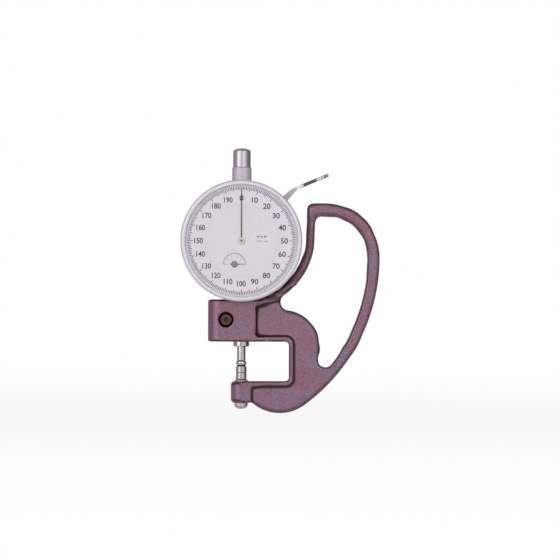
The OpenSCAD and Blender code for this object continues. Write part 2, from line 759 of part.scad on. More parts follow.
// Spindle with its rack, and the pieces that travel with it
rack_z = [5.1, 12.9];
rack_root = rack_x - 1.25 * rack_m;
rack_tip = rack_x + 0.8 * rack_m;
module spindle() color(steel) difference() {
    union() {
        difference() {
            standing(contact_l, sleeve_top + 5.4, spindle_d / 2);
            translate([rack_root, -spindle_d, dial_z + rack_z[0]])
                cube([spindle_d, 2 * spindle_d, rack_z[1] - rack_z[0]]);
        }
        on_dial([0, 0]) layer(-1.1, 1.1) polygon(concat(
            [[rack_root - 0.4, rack_z[0] - 0.1], [rack_root, rack_z[0] - 0.1]],
            [for (k = [-7 : 4]) each rack_tooth(first_p[1] + k * rack_pitch)],
            [[rack_root, rack_z[1] + 0.1], [rack_root - 0.4, rack_z[1] + 0.1]]
        ));
    }
    standing(contact_l - over, contact_l + 4.2, 1.22);
    on_dial([0, lift_pin_z]) rotate([0, 90, 0]) cylinder(r = side_pin_r + seat_gap, h = 8);
    on_dial([0, guide_z]) rotate([0, -90, 0]) cylinder(r = side_pin_r + seat_gap, h = 8);
}
function rack_tooth(z) = [
    [rack_root, z - 0.21],
    [rack_tip, z - 0.08],
    [rack_tip, z + 0.08],
    [rack_root, z + 0.21]
];
module lift_pin() color(steel) on_dial([0.05, lift_pin_z]) rotate([0, 90, 0]) cylinder(r = side_pin_r, h = 5.2);
module guide_pin() color(steel) on_dial([-0.05, guide_z]) rotate([0, -90, 0]) cylinder(r = side_pin_r, h = 9.4);
module contact_point() color(steel) rotate_extrude() polygon([
    [0, 0],
    [contact_d / 2 - 0.25, 0],
    [contact_d / 2, 0.3],
    [contact_d / 2, 3.15],
    [contact_d / 2 - 0.2, 3.3],
    [contact_d / 2 - 0.2, 3.45],
    [contact_d / 2, 3.6],
    [contact_d / 2, contact_l - 3],
    [contact_d / 2 - 0.15, contact_l - 2.9],
    [contact_d / 2 - 0.55, contact_l - 2.9],
    [contact_d / 2 - 0.55, contact_l - 2.4],
    [contact_d / 2 - 0.3, contact_l - 2.35],
    [contact_d / 2 - 0.08, contact_l - 1.9],
    [contact_d / 2 - 0.05, contact_l - 1.3],
    [contact_d / 2 - 0.15, contact_l - 0.7],
    [contact_d / 2 - 0.4, contact_l - 0.4],
    [1.7, contact_l - 0.35],
    [1.7, contact_l],
    [1.2, contact_l],
    [1.2, contact_l + 4],
    [0, contact_l + 4]
]);
module guide_rail() color(steel) on_dial([0, guide_z]) difference() {
    translate([-6.4, -plate_f[0], -3.4]) cube([2.2, 2 * plate_f[0], 7.8]);
    translate([-7, -side_pin_r - 0.08, -2.2]) cube([4, 2 * side_pin_r + 0.16, 5.2]);
}

// Return spring: a coil between the guide pin and a post on the plate
coil_r = 1.2;
coil_wire = 0.22;
coil_turns = 9;
coil_z = [spring_post_z + 0.8 + coil_wire, guide_z - side_pin_r - coil_wire - 0.05];
coil_n = coil_turns * 16;
function coil_at(i) = [
    coil_r * cos(22.5 * i),
    coil_r * sin(22.5 * i),
    coil_z[0] + (coil_z[1] - coil_z[0]) * i / coil_n
];
function coil_ring(i) =
    let (c = coil_at(i), a = 22.5 * i)
    [for (k = [0 : 7]) c + coil_wire * cos(45 * k) * [cos(a), sin(a), 0] + [0, 0, coil_wire * sin(45 * k)]];
module return_spring() color(steel) on_dial([spring_x, 0]) polyhedron(
    points = [for (i = [0 : coil_n]) each coil_ring(i)],
    faces = concat(
        [[for (k = [0 : 7]) k]],
        [for (i = [0 : coil_n - 1], k = [0 : 7])
            [8 * i + k, 8 * i + 8 + k, 8 * i + 8 + (k + 1) % 8, 8 * i + (k + 1) % 8]],
        [[for (k = [7 : -1 : 0]) 8 * coil_n + k]]
    )
);
module spring_post() color(steel) on_dial([spring_x, spring_post_z]) pin_y(0.8, -1.6, plate_f[1] - 0.1);

// Lifting lever: a bent strip that swings on the plate and raises the lift pin
// A point on the lever's shank: along it and across it, from the pivot
function on_shank(p) =
    lever_p + p[0] * [cos(lever_dir), sin(lever_dir)] + p[1] * [-sin(lever_dir), cos(lever_dir)];
function strip(p, q, t) =
    let (u = (q - p) / norm(q - p), v = t / 2 * [-u[1], u[0]])
    [p - v, q - v, q + v, p + v];
bend_c = on_shank([15.6, -lever_bend_r]);
gusset = [[9.3, -0.5], [15, -0.5], [18.6, 0.12], [15.5, 1.5], [10, 2.4], [9.3, 0.9]];
bend_end = bend_c + lever_bend_r * [-sin(thumb_slope), cos(thumb_slope)];
thumb_tip = bend_end + thumb_l * [cos(thumb_slope), sin(thumb_slope)];
tip_z = lift_pin_z - side_pin_r - 0.1;
module lever_profile() difference() {
    union() {
        circle_at(lever_p, 2.6);
        polygon([
            [2.7, tip_z - 1.3],
            [5, tip_z - 1.9],
            [lever_p[0], lever_p[1] - 1.4],
            [lever_p[0], tip_z],
            [2.7, tip_z]
        ]);
        polygon(strip(lever_p, on_shank([15.7, 0]), lever_t));
        polygon([for (p = gusset) on_shank(p)]);
        intersection() {
            difference() {
                circle_at(bend_c, lever_bend_r + lever_t / 2);
                circle_at(bend_c, lever_bend_r - lever_t / 2);
            }
            polygon([
                bend_c,
                bend_c + 12 * [-sin(thumb_slope), cos(thumb_slope)],
                bend_c + 14 * [-sin(thumb_slope + 14), cos(thumb_slope + 14)],
                bend_c + 12 * [-sin(lever_dir), cos(lever_dir)]
            ]);
        }
        polygon(strip(bend_end - 0.05 * [cos(thumb_slope), sin(thumb_slope)], thumb_tip, lever_t));
        circle_at(thumb_tip, lever_t / 2);
    }
    circle_at(lever_p, 1.2 + run_gap);
}
module circle_at(p, r) translate(p) circle(r);
module lifting_lever() color("#d8d8dc") translate([0, 0, dial_z]) intersection() {
    layer(-thumb_w, thumb_w) lever_profile();
    linear_extrude(80) {
        translate([0, -1.2]) square([20, 2.4]);
        translate([19, -1.9]) square([9, 3.8]);
        polygon([
            [26, -1.9],
            [31, -thumb_w / 2],
            [thumb_tip[0] - thumb_w / 2, -thumb_w / 2],
            [thumb_tip[0] - thumb_w / 2, thumb_w / 2],
            [31, thumb_w / 2],
            [26, 1.9]
        ]);
        translate([thumb_tip[0] + lever_t / 2 - thumb_w / 2 - 0.4, 0]) circle(thumb_w / 2);
    }
}
module lever_pivot() color(steel) on_dial(lever_p) {
    pin_y(2, -2.2, -1.35);
    pin_y(1.2, -1.5, 1.5);
    pin_y(1.9, 1.35, plate_f[0]);
    pin_y(0.8, plate_f[0] - 0.1, plate_f[1] - 0.1);
}

frame();
anvil();
clamp_screw();
case_body();
lower_stem();
stem_bush();
upper_sleeve();
upper_bush();
dust_cap();
back_cover();
back_cover_screws();
bezel();
bezel_retaining_wire();
crystal();
dial_ring();
dial_plate();
pointer();
pointer_hub();
counter_hand();
counter_hub();
movement_plate();
movement_pillars();
movement_screws();
pinion_cock();
rack_pinion();
first_wheel();
second_pinion();
second_wheel();
centre_pinion();
counter_arbor();
counter_wheel();
hairspring();
hairspring_collet();
hairspring_stud();
spindle();
contact_point();
lift_pin();
guide_pin();
guide_rail();
return_spring();
spring_post();
lifting_lever();
lever_pivot();
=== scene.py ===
# %% [markdown]
# # A dial thickness gauge
# The gauge has a cast handle frame with a throat, a flat anvil below, and a round dial indicator
# clamped above it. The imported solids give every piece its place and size. This lesson adds what
# solids can't show: cast paint, turned metal, printed dial scales and a clear crystal.

# %% Load the frame
import math

import bmesh
import bpy
import numpy as np
from mathutils import Matrix, Vector


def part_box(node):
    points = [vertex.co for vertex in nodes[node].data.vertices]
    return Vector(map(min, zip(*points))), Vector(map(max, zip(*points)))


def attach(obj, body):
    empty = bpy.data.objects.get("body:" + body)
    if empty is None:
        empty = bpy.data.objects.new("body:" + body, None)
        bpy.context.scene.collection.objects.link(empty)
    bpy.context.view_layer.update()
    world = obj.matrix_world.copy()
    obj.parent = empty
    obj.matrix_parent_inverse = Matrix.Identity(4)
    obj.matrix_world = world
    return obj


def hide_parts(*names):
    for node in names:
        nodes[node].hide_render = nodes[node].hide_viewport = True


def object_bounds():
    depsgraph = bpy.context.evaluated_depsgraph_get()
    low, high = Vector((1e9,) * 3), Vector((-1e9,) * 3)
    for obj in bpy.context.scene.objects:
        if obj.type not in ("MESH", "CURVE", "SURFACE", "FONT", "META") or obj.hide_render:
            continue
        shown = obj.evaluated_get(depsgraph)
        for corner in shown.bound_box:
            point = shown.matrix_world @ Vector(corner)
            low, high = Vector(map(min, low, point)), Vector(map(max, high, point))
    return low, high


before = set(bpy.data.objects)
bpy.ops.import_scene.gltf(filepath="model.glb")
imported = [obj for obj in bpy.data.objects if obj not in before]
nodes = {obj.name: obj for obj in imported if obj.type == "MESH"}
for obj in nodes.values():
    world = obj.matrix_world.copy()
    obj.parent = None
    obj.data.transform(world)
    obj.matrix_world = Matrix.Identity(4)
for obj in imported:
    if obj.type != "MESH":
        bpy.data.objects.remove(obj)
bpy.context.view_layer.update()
MM = 0.001  # Blender's unit here is the metre, and most sizes below are given in mm
scene = bpy.context.scene

# %% [markdown]
# ## Camera and stage
# The gauge is seen square from the front from far away, so its edges stay parallel. A long lens at
# two metres gives that. One pixel of the picture is 0.471 mm at the middle plane of the gauge.

# %% Camera
PIXEL = 0.471 * MM
VIEW_WIDTH = 560 * PIXEL  # the picture is 560 pixels wide
SENSOR = 36  # mm, width of the camera's sensor
CAMERA_AT = Vector((0.01812, -2.0, 0.0469))
CAMERA_ROLL = math.radians(-0.2)  # the gauge leans a little to the right in the picture

camera_data = bpy.data.cameras.new("front_camera")
camera_data.sensor_width = SENSOR
camera_data.lens = SENSOR * -CAMERA_AT.y / VIEW_WIDTH
camera = bpy.data.objects.new("front_camera", camera_data)
camera.location = CAMERA_AT
camera.rotation_euler = (math.pi / 2, CAMERA_ROLL, 0)
scene.collection.objects.link(camera)
scene.camera = camera
scene.view_settings.view_transform = "Standard"
print("lens", round(camera_data.lens, 1), "mm")

# %% [markdown]
# Every shader below is built from nodes. One function adds a node: settings go on the node, and
# each input is given either a plain value or the output of another node. Colours are written as
# the hex values of a paint chart, and one function turns them into the linear values of a shader.


# %% Node and colour helpers
def set_inputs(tree, node, inputs):
    for name, value in inputs.items():
        socket = node.inputs[name]
        if isinstance(value, bpy.types.NodeSocket):
            tree.links.new(value, socket)
        else:
            socket.default_value = value


def add_node(tree, kind, inputs=None, **settings):
    node = tree.nodes.new(kind)
    for name, value in settings.items():
        setattr(node, name, value)
    set_inputs(tree, node, inputs or {})
    return node


def linear(hex_colour):
    values = [int(hex_colour[i:i + 2], 16) / 255 for i in (1, 3, 5)]
    # The numbers below are those of the sRGB standard.
    return [v / 12.92 if v <= 0.04045 else ((v + 0.055) / 1.055) ** 2.4 for v in values] + [1.0]


def ramp_stops(node, stops):
    elements = node.color_ramp.elements
    while len(elements) < len(stops):
        elements.new(0.5)
    for element, (place, colour) in zip(elements, stops):
        element.position = place
        element.color = linear(colour)


WHITE = linear("#FFFFFF")
print("mid grey is", [round(v, 3) for v in linear("#808080")])

# %% [markdown]
# The stage is a studio sweep. Its background is white to the camera, in reflections and through the
# crystal, but gives little light by itself, so that the lamps can shape the gauge. The Light Path
# node tells these rays from the ones that only gather light.

# %% World
AMBIENT = 0.2  # the light that the background gives, as a share of white


def seen_directly(tree):
    path = add_node(tree, "ShaderNodeLightPath").outputs
    seen = path["Is Camera Ray"]
    for ray in ("Is Glossy Ray", "Is Transmission Ray"):
        seen = add_node(tree, "ShaderNodeMath", {0: seen, 1: path[ray]},
                        operation="MAXIMUM").outputs[0]
    return seen


world = bpy.data.worlds.new("studio")
scene.world = world
world.use_nodes = True
tree = world.node_tree
tree.nodes.clear()
strength = add_node(tree, "ShaderNodeMapRange",
                    {"Value": seen_directly(tree), "To Min": AMBIENT, "To Max": 1.0})
sky = add_node(tree, "ShaderNodeBackground",
               {"Color": WHITE, "Strength": strength.outputs["Result"]})
add_node(tree, "ShaderNodeOutputWorld", {"Surface": sky.outputs[0]})
print("ambient", AMBIENT)

# %% [markdown]
# The floor is white paper. Near the gauge a part of it is plain diffuse paper, which keeps a faint
# shadow, and further out it fades into the white of the background, so no horizon shows.

# %% Floor
FLOOR_GAP = 0.5  # mm of air below the gauge
FLOOR_HALF = 40  # m, half the floor's width, so that its rim is out of sight
FADE_FROM, FADE_TO = 0.2, 1.0  # m from the middle, where the paper fades into the background
GLOW_NEAR = 0.8  # share of the background's white in the paper near the gauge
LEVEL_NEAR = 1.1  # strength of that white there, which makes up for the shadow


def bare_material(name):
    material = bpy.data.materials.new(name)
    material.use_nodes = True
    material.node_tree.nodes.clear()
    return material, material.node_tree


def one_face(name, corners, material):
    mesh = bpy.data.meshes.new(name)
    mesh.from_pydata(corners, [], [(0, 1, 2, 3)])
    mesh.materials.append(material)
    plane = bpy.data.objects.new(name, mesh)
    scene.collection.objects.link(plane)
    return plane


FLOOR_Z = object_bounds()[0][2] - FLOOR_GAP * MM
floor_paper, tree = bare_material("floor_white_paper")
spot = add_node(tree, "ShaderNodeTexCoord").outputs["Object"]
away = add_node(tree, "ShaderNodeVectorMath", {0: spot}, operation="LENGTH").outputs["Value"]
fade = {"Value": away, "From Min": FADE_FROM, "From Max": FADE_TO, "To Max": 1.0}
share = add_node(tree, "ShaderNodeMapRange", {**fade, "To Min": GLOW_NEAR})
level = add_node(tree, "ShaderNodeMapRange", {**fade, "To Min": LEVEL_NEAR})
glow = add_node(tree, "ShaderNodeMath", {0: seen_directly(tree), 1: share.outputs["Result"]},
                operation="MULTIPLY")
paper = add_node(tree, "ShaderNodeBsdfDiffuse", {"Color": linear("#DCDCDC")})
white = add_node(tree, "ShaderNodeEmission",
                 {"Color": WHITE, "Strength": level.outputs["Result"]})
mix = add_node(tree, "ShaderNodeMixShader",
               {0: glow.outputs[0], 1: paper.outputs[0], 2: white.outputs[0]})
add_node(tree, "ShaderNodeOutputMaterial", {"Surface": mix.outputs[0]})
floor_corners = [(x * FLOOR_HALF, y * FLOOR_HALF, FLOOR_Z)
                 for x, y in ((-1, -1), (1, -1), (1, 1), (-1, 1))]
floor = one_face("floor", floor_corners, floor_paper)
print("floor at", round(FLOOR_Z, 4))

# %% [markdown]
# Two soft lamps stand close to the lens. From there the bezel throws no shadow on the dial, and a
# face that turns away gets darker, which draws the round edges of the casting. Two lamps at the
# sides are seen in gloss only and give paint and metal their sheen. A last one lights the back.

# %% Lamps
AIM = Vector((0.02, 0, 0.045))  # m, the middle of the gauge
LAMPS = {  # place in m, size in m, watts, tint, seen in gloss only
    "front_softbox": ((-0.12, -1.85, 0.2), 0.6, 18.0, "#FFFFFF", False),
    "lens_fill": ((0.1, -1.9, 0.06), 0.5, 10.0, "#FFFFFF", False),
    "left_sheen": ((-1.0, -1.25, 0.45), 1.1, 10.5, "#F0F2FF", True),
    "right_sheen": ((0.72, -1.42, 0.45), 0.8, 5.2, "#F0F2FF", True),
    "back_fill": ((0.4, 1.6, 1.0), 1.2, 12.0, "#FFFFFF", False),
}
for name, (place, size, watts, tint, sheen_only) in LAMPS.items():
    data = bpy.data.lights.new(name, "AREA")
    data.size = size
    data.energy = watts
    data.color = linear(tint)[:3]
    lamp = bpy.data.objects.new(name, data)
    lamp.location = place
    lamp.rotation_euler = (AIM - Vector(place)).to_track_quat("-Z", "Y").to_euler()
    lamp.visible_glossy = sheen_only
    lamp.visible_diffuse = not sheen_only
    scene.collection.objects.link(lamp)
print("lamps", len(LAMPS))

# %% [markdown]
# Polished steel shows its surroundings. In a white room it would look white all over, so a
# photographer stands grey cards beside it: their reflection draws the dark bands along the sides of
# round pins, and a narrow card at the lens draws the thin line in the middle. These cards are seen
# by reflections only.

# %% Grey cards for reflections
CARDS = {  # corners in m, grey tone
    "left_card": ([(-0.3, -0.12, -1), (-0.3, 2, -1), (-0.3, 2, 1.2), (-0.3, -0.12, 1.2)], 0.5),
    "right_card": ([(0.34, -0.13, -1), (0.34, 2, -1), (0.34, 2, 1.2), (0.34, -0.13, 1.2)], 0.3),
    "top_card": ([(-0.5, -0.45, 0.6), (0.5, -0.45, 0.6), (0.5, 1, 0.6), (-0.5, 1, 0.6)], 0.45),
    "lens_card": ([(-0.3, -2.3, -1), (0.34, -2.3, -1), (0.34, -2.3, 1.2), (-0.3, -2.3, 1.2)],
                  0.65),
}
for name, (corners, tone) in CARDS.items():
    felt, tree = bare_material("felt_of_" + name)
    grey = add_node(tree, "ShaderNodeEmission", {"Color": (tone, tone, tone, 1.0), "Strength": 1.0})
    add_node(tree, "ShaderNodeOutputMaterial", {"Surface": grey.outputs[0]})
    card = one_face(name, corners, felt)
    for ray in ("camera", "diffuse", "shadow", "transmission"):
        setattr(card, "visible_" + ray, False)
print("cards", len(CARDS))

# %% [markdown]
# ## Finishes
# The frame is cast aluminium under hammer-finish enamel: a metallic lacquer that draws itself into
# small cells as it dries. The eye sees purple brown that shifts to blue and red in patches, a fine
# speckle, and a soft sheen. Painted shade darkens it to deep red brown in the corners and on the
# walls of steps, and to a greyer tone along the rounded edges. The casting's mesh below carries a
# number for that at each point: a half is plain paint, more is a corner's painted shade and less
# is an edge's painted shade.


# %% Hammer-finish enamel
def new_finish(name):
    material, tree = bare_material(name)
    shader = add_node(tree, "ShaderNodeBsdfPrincipled")
    add_node(tree, "ShaderNodeOutputMaterial", {"Surface": shader.outputs[0]})
    place = add_node(tree, "ShaderNodeTexCoord").outputs["Object"]
    return material, tree, shader, place


PATCH = 9.0  # mm, width of the blue and red patches
CELL = 1.5  # mm, width of the hammer cells
CELL_DEPTH = 0.08  # mm, height of the cells' rims
SPECK = 0.7  # mm, width of the metal specks

hammer_enamel, tree, shader, place = new_finish("hammer_finish_enamel_purple_brown")
patch = add_node(tree, "ShaderNodeTexNoise", {"Vector": place, "Scale": 1 / (PATCH * MM),
                                              "Detail": 3.0, "Roughness": 0.55})
tone = add_node(tree, "ShaderNodeValToRGB", {"Fac": patch.outputs[0]})
ramp_stops(tone, [(0.33, "#7E6B80"), (0.46, "#886475"), (0.56, "#886172"), (0.69, "#8B5B6D")])
speck = add_node(tree, "ShaderNodeTexNoise", {"Vector": place, "Scale": 1 / (SPECK * MM),
                                              "Detail": 2.0, "Roughness": 0.6})
speck_tone = add_node(tree, "ShaderNodeValToRGB", {"Fac": speck.outputs[0]})
ramp_stops(speck_tone, [(0.3, "#B8B4B8"), (0.5, "#EFEDEF"), (0.72, "#FFFFFF")])
speckled = add_node(tree, "ShaderNodeMix", {0: 1.0, 6: tone.outputs[0], 7: speck_tone.outputs[0]},
                    data_type="RGBA", blend_type="MULTIPLY")
# Painted shade read from the mesh: red brown in corners and on step walls, greyer on edges.
corner = add_node(tree, "ShaderNodeAttribute", attribute_name="corner_and_edge_shade",
                  attribute_type="GEOMETRY")
corner_shade_ramp = add_node(tree, "ShaderNodeValToRGB", {"Fac": corner.outputs["Fac"]})
ramp_stops(corner_shade_ramp, [(0.27, "#7D5E68"), (0.43, "#FFFFFF"), (0.52, "#FFFFFF"), (0.61, "#662839")])
corner_shaded = add_node(tree, "ShaderNodeMix", {0: 1.0, 6: speckled.outputs[2], 7: corner_shade_ramp.outputs[0]},
                  data_type="RGBA", blend_type="MULTIPLY")
cells = add_node(tree, "ShaderNodeTexVoronoi", {"Vector": place, "Scale": 1 / (CELL * MM)},
                 feature="SMOOTH_F1")
relief = add_node(tree, "ShaderNodeBump", {"Strength": 0.25, "Distance": CELL_DEPTH * MM,
                                           "Height": cells.outputs["Distance"]})
shine = add_node(tree, "ShaderNodeMapRange",
                 {"Value": speck.outputs[0], "To Min": 0.3, "To Max": 0.44})
set_inputs(tree, shader, {"Base Color": corner_shaded.outputs[2], "Roughness": shine.outputs["Result"],
                          "Normal": relief.outputs["Normal"], "Metallic": 0.48,
                          "Specular IOR Level": 0.8})
print(hammer_enamel.name)

# %% [markdown]
# Turned steel carries the fine rings of the lathe tool: around the vertical pins they lie flat, one
# above the other, so a wave along Z draws them. The real feed marks are near 0.05 mm. They are
# drawn 0.25 mm apart here, as fine marks vanish at this picture's scale. The contact is darker in
# its grooves: the colour goes dark where the surface is closer to its axis than the full radius.
# Most finishes are a little uneven, and one helper gives the tint and the gloss of such patches.

# %% Turned, blued and spring steel, and brass
FEED = 0.25  # mm between feed marks, drawn coarse
FEED_DEPTH = 0.01  # mm, depth of the feed marks
WAVE_LENGTH = 0.314  # length of one wave of the Wave Texture at scale 1
SMEAR = 2.0  # mm, width of handling smears
TINT_ENDS = (0.3, 0.7)  # values of a noise at which a tint is at its dark and its light end
GROOVE_FADE = 0.2  # mm of depth over which a groove gets dark
GROOVE_TONE = 0.08  # share of the steel's brightness that is left deep in a groove


def patchy(tree, place, width, detail, tones=None, rough=None):
    noise = add_node(tree, "ShaderNodeTexNoise",
                     {"Vector": place, "Scale": 1 / (width * MM), "Detail": detail}).outputs[0]
    tint = gloss = None
    if tones:
        ramp = add_node(tree, "ShaderNodeValToRGB", {"Fac": noise})
        ramp_stops(ramp, list(zip(TINT_ENDS, tones)))
        tint = ramp.outputs[0]
    if rough:
        gloss = add_node(tree, "ShaderNodeMapRange", {"Value": noise, "To Min": rough[0],
                                                      "To Max": rough[1]}).outputs["Result"]
    return noise, tint, gloss


def axis_distance(tree, place, centre, across):
    centred = add_node(tree, "ShaderNodeMapping",
                       {"Vector": place, "Location": [-value for value in centre]})
    flat = add_node(tree, "ShaderNodeVectorMath", {0: centred.outputs[0], 1: across},
                    operation="MULTIPLY")
    return add_node(tree, "ShaderNodeVectorMath", {0: flat.outputs[0]},
                    operation="LENGTH").outputs["Value"]


def turned_finish(name, low, high, rough, depth, along, metallic=1.0, groove=None):
    material, tree, shader, place = new_finish(name)
    _, colour, gloss = patchy(tree, place, SMEAR, 3.0, (low, high), rough)
    marks = add_node(tree, "ShaderNodeTexWave",
                     {"Vector": place, "Scale": WAVE_LENGTH / (FEED * MM), "Distortion": 0.6,
                      "Detail": 1.0}, wave_type="BANDS", bands_direction=along)
    relief = add_node(tree, "ShaderNodeBump", {"Strength": depth, "Distance": FEED_DEPTH * MM,
                                               "Height": marks.outputs["Fac"]})
    if groove:
        radius = axis_distance(tree, place, (0.0, 0.0, 0.0), (1.0, 1.0, 0.0))
        groove_dark = add_node(tree, "ShaderNodeMapRange",
                       {"Value": radius, "From Min": (groove - GROOVE_FADE) * MM,
                        "From Max": groove * MM, "To Min": GROOVE_TONE, "To Max": 1.0})
        colour = add_node(tree, "ShaderNodeVectorMath",
                          {0: colour, "Scale": groove_dark.outputs["Result"]},
                          operation="SCALE").outputs[0]
    set_inputs(tree, shader, {"Base Color": colour, "Roughness": gloss, "Metallic": metallic,
                              "Normal": relief.outputs["Normal"]})
    return material


CONTACT_R = 2.45  # mm, radius of the contact outside its grooves
# Ground steel: dark and light tint, roughness, depth of the feed marks, and their axis
GROUND = ("#A89EA0", "#B4AAAD", (0.12, 0.17), 0.012, "Z")
turned_steel = turned_finish("turned_steel_ground", *GROUND)
grooved_steel = turned_finish("turned_steel_dark_grooves", *GROUND, groove=CONTACT_R)
cap_steel = turned_finish("turned_steel_polished_cap", "#A8A0A5", "#B3ACB0", (0.34, 0.4),
                          0.012, "Z")
dull_steel = turned_finish("turned_steel_satin", "#B9B1B7", "#C3BCC1", (0.5, 0.6),
                           0.05, "Z", metallic=0.35)
anvil_steel = turned_finish("turned_steel_dulled_anvil", "#A89E98", "#B8AFAA", (0.3, 0.4),
                            0.02, "Z", metallic=0.6)
blued_steel = turned_finish("blued_steel_arbor", "#2E2A2C", "#3A3537", (0.35, 0.45), 0.1, "Y")
spring_wire = turned_finish("spring_steel_wire", "#8E8C8F", "#A09DA0", (0.25, 0.4), 0.2, "Z")
movement_brass = turned_finish("rolled_brass_movement", "#B9975A", "#C9A96A", (0.25, 0.4),
                               0.2, "X")
print([m.name for m in (turned_steel, cap_steel, dull_steel, anvil_steel, spring_wire)])

# %% [markdown]
# The clamp screw is a steel socket screw, oil blackened and rubbed brown by use. Its colour goes
# dark with the depth below the screw's face: painted shade in the socket.

# %% Oil-blackened socket screw
SCREW_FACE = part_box("clamp_screw")[0].y
RUB = 1.2  # mm, width of the rubbed patches
SOCKET_TOP, SOCKET_FLOOR = 0.2, 0.9  # mm below the face, where the painted shade starts and is full
SOCKET_SHADE_TONE = 0.4  # share of the brightness that is left under full painted shade

oiled_screw, tree, shader, place = new_finish("oil_blackened_steel_screw")
_, tint, gloss = patchy(tree, place, RUB, 3.0, ("#3A2D24", "#574537"), (0.35, 0.55))
# Painted shade: darker with the depth into the socket.
depth = add_node(tree, "ShaderNodeSeparateXYZ", {"Vector": place}).outputs["Y"]
painted_shade = add_node(tree, "ShaderNodeMapRange",
                 {"Value": depth, "From Min": SCREW_FACE + SOCKET_TOP * MM,
                  "From Max": SCREW_FACE + SOCKET_FLOOR * MM, "To Min": 1.0,
                  "To Max": SOCKET_SHADE_TONE})
shaded_socket = add_node(tree, "ShaderNodeVectorMath", {0: tint, "Scale": painted_shade.outputs["Result"]},
                  operation="SCALE")
set_inputs(tree, shader, {"Base Color": shaded_socket.outputs[0], "Roughness": gloss, "Metallic": 0.5})
print(oiled_screw.name, "face at", round(SCREW_FACE, 5))

# %% [markdown]
# The bezel and the case are aluminium with a satin anodised skin, turned on the dial's axis. Their
# feed marks are rings around that axis, so the pattern is a wave in the distance from it. A Mapping
# node first moves the pattern's middle to the middle of the dial.

# %% Satin anodised aluminium
DIAL_Z = sum(corner.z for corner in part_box("dial_plate")) / 2
RING_FEED = 0.5  # mm between turned rings, drawn coarse
RING_DEPTH = 0.01  # mm, depth of the rings
CLOUD = 4.0  # mm, width of the cloudy patches in the anodised skin

satin_alloy, tree, shader, place = new_finish("satin_anodised_aluminium")
radius = axis_distance(tree, place, (0.0, 0.0, DIAL_Z), (1.0, 0.0, 1.0))
phase = add_node(tree, "ShaderNodeMath", {0: radius, 1: 2 * math.pi / (RING_FEED * MM)},
                 operation="MULTIPLY")
ring_wave = add_node(tree, "ShaderNodeMath", {0: phase.outputs[0]}, operation="SINE")
_, tint, gloss = patchy(tree, place, CLOUD, 3.0, ("#D8D3D9", "#E1DCE2"), (0.45, 0.55))
relief = add_node(tree, "ShaderNodeBump", {"Strength": 0.15, "Distance": RING_DEPTH * MM,
                                           "Height": ring_wave.outputs[0]})
set_inputs(tree, shader, {"Base Color": tint, "Roughness": gloss, "Metallic": 0.15,
                          "Normal": relief.outputs["Normal"]})
print(satin_alloy.name)

# %% [markdown]
# The dial is a metal plate with matt silver-white lacquer, faintly grained. The scales are printed
# in dark grey ink and the hands are matt black. Ink and hand paint are thin films of slightly
# uneven tone, and the same recipe gives the lacquered hub and the browned arbor in the middle.

# %% Dial lacquer, ink and hand paint
GRAIN = 0.8  # mm, width of the lacquer's grain
GRAIN_DEPTH = 0.02  # mm, height of the grain
INK_PATCH = 0.5  # mm, width of thick and thin places in the ink

dial_lacquer, tree, shader, place = new_finish("dial_silver_white_lacquer")
grain, tint, _ = patchy(tree, place, GRAIN, 2.0, ("#E4DFE6", "#EBE6ED"))
relief = add_node(tree, "ShaderNodeBump", {"Strength": 0.1, "Distance": GRAIN_DEPTH * MM,
                                           "Height": grain})
set_inputs(tree, shader, {"Base Color": tint, "Normal": relief.outputs["Normal"],
                          "Roughness": 0.6, "Specular IOR Level": 0.3})


def ink_finish(name, low, high):
    material, tree, shader, place = new_finish(name)
    _, tint, _ = patchy(tree, place, INK_PATCH, 2.0, (low, high))
    set_inputs(tree, shader, {"Base Color": tint, "Roughness": 0.55, "Specular IOR Level": 0.15})
    return material


number_ink = ink_finish("printed_ink_dark_grey", "#1E1C1F", "#29272A")
tick_ink = ink_finish("printed_ink_grey", "#322F34", "#3E3B40")
faint_ink = ink_finish("printed_ink_faint", "#6E6A71", "#7C787F")
hand_paint = ink_finish("matt_black_hand_paint", "#171415", "#231F20")
hub_cream = ink_finish("lacquered_brass_hub", "#DACBC0", "#E4D7CD")
worn_steel = ink_finish("browned_steel_arbor", "#6E564C", "#7E655A")
print(dial_lacquer.name, number_ink.name, hand_paint.name)

# %% [markdown]
# The crystal is clear acrylic. A glass shader would bend the light and keep the lamps off the dial,
# so a see-through shader is mixed with a glossy one. The gloss is four percent seen straight and
# grows with the fifth power of the slant, the usual rule for clear plastics, the same from both
# sides of the thin pane.

# %% Clear crystal
HAZE = 6.0  # mm, width of the faint smears on the crystal
STRAIGHT_GLOSS = 0.04  # share of light that is mirrored when seen straight
SLANT_POWER = 5.0  # how the gloss grows with the slant

crystal_acrylic, tree, shader, place = new_finish("clear_acrylic_crystal")
tree.nodes.remove(shader)
_, _, gloss = patchy(tree, place, HAZE, 2.0, rough=(0.03, 0.07))
clear = add_node(tree, "ShaderNodeBsdfTransparent", {"Color": WHITE})
mirror = add_node(tree, "ShaderNodeBsdfGlossy", {"Color": WHITE, "Roughness": gloss})
facing = add_node(tree, "ShaderNodeLayerWeight", {"Blend": 0.5}).outputs["Facing"]
grazing = add_node(tree, "ShaderNodeMath", {0: facing, 1: SLANT_POWER}, operation="POWER")
edge_gloss = add_node(tree, "ShaderNodeMath",
                      {0: grazing.outputs[0], 1: 1 - STRAIGHT_GLOSS, 2: STRAIGHT_GLOSS},
                      operation="MULTIPLY_ADD")
window = add_node(tree, "ShaderNodeMixShader",
                  {0: edge_gloss.outputs[0], 1: clear.outputs[0], 2: mirror.outputs[0]})
output = [node for node in tree.nodes if node.type == "OUTPUT_MATERIAL"][0]
set_inputs(tree, output, {"Surface": window.outputs[0]})
print(crystal_acrylic.name)

# %% [markdown]
# The hub of the small counter hand is black with a bright ring turned into its face. The ring is
# drawn by the distance from the hub's own axis.

# %% Counter hub with a bright ring
HUB_REACH = 2.0  # mm from the hub's axis to the end of the colour ramp
counter_low, counter_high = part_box("counter_hub")
COUNTER = (counter_low + counter_high) / 2

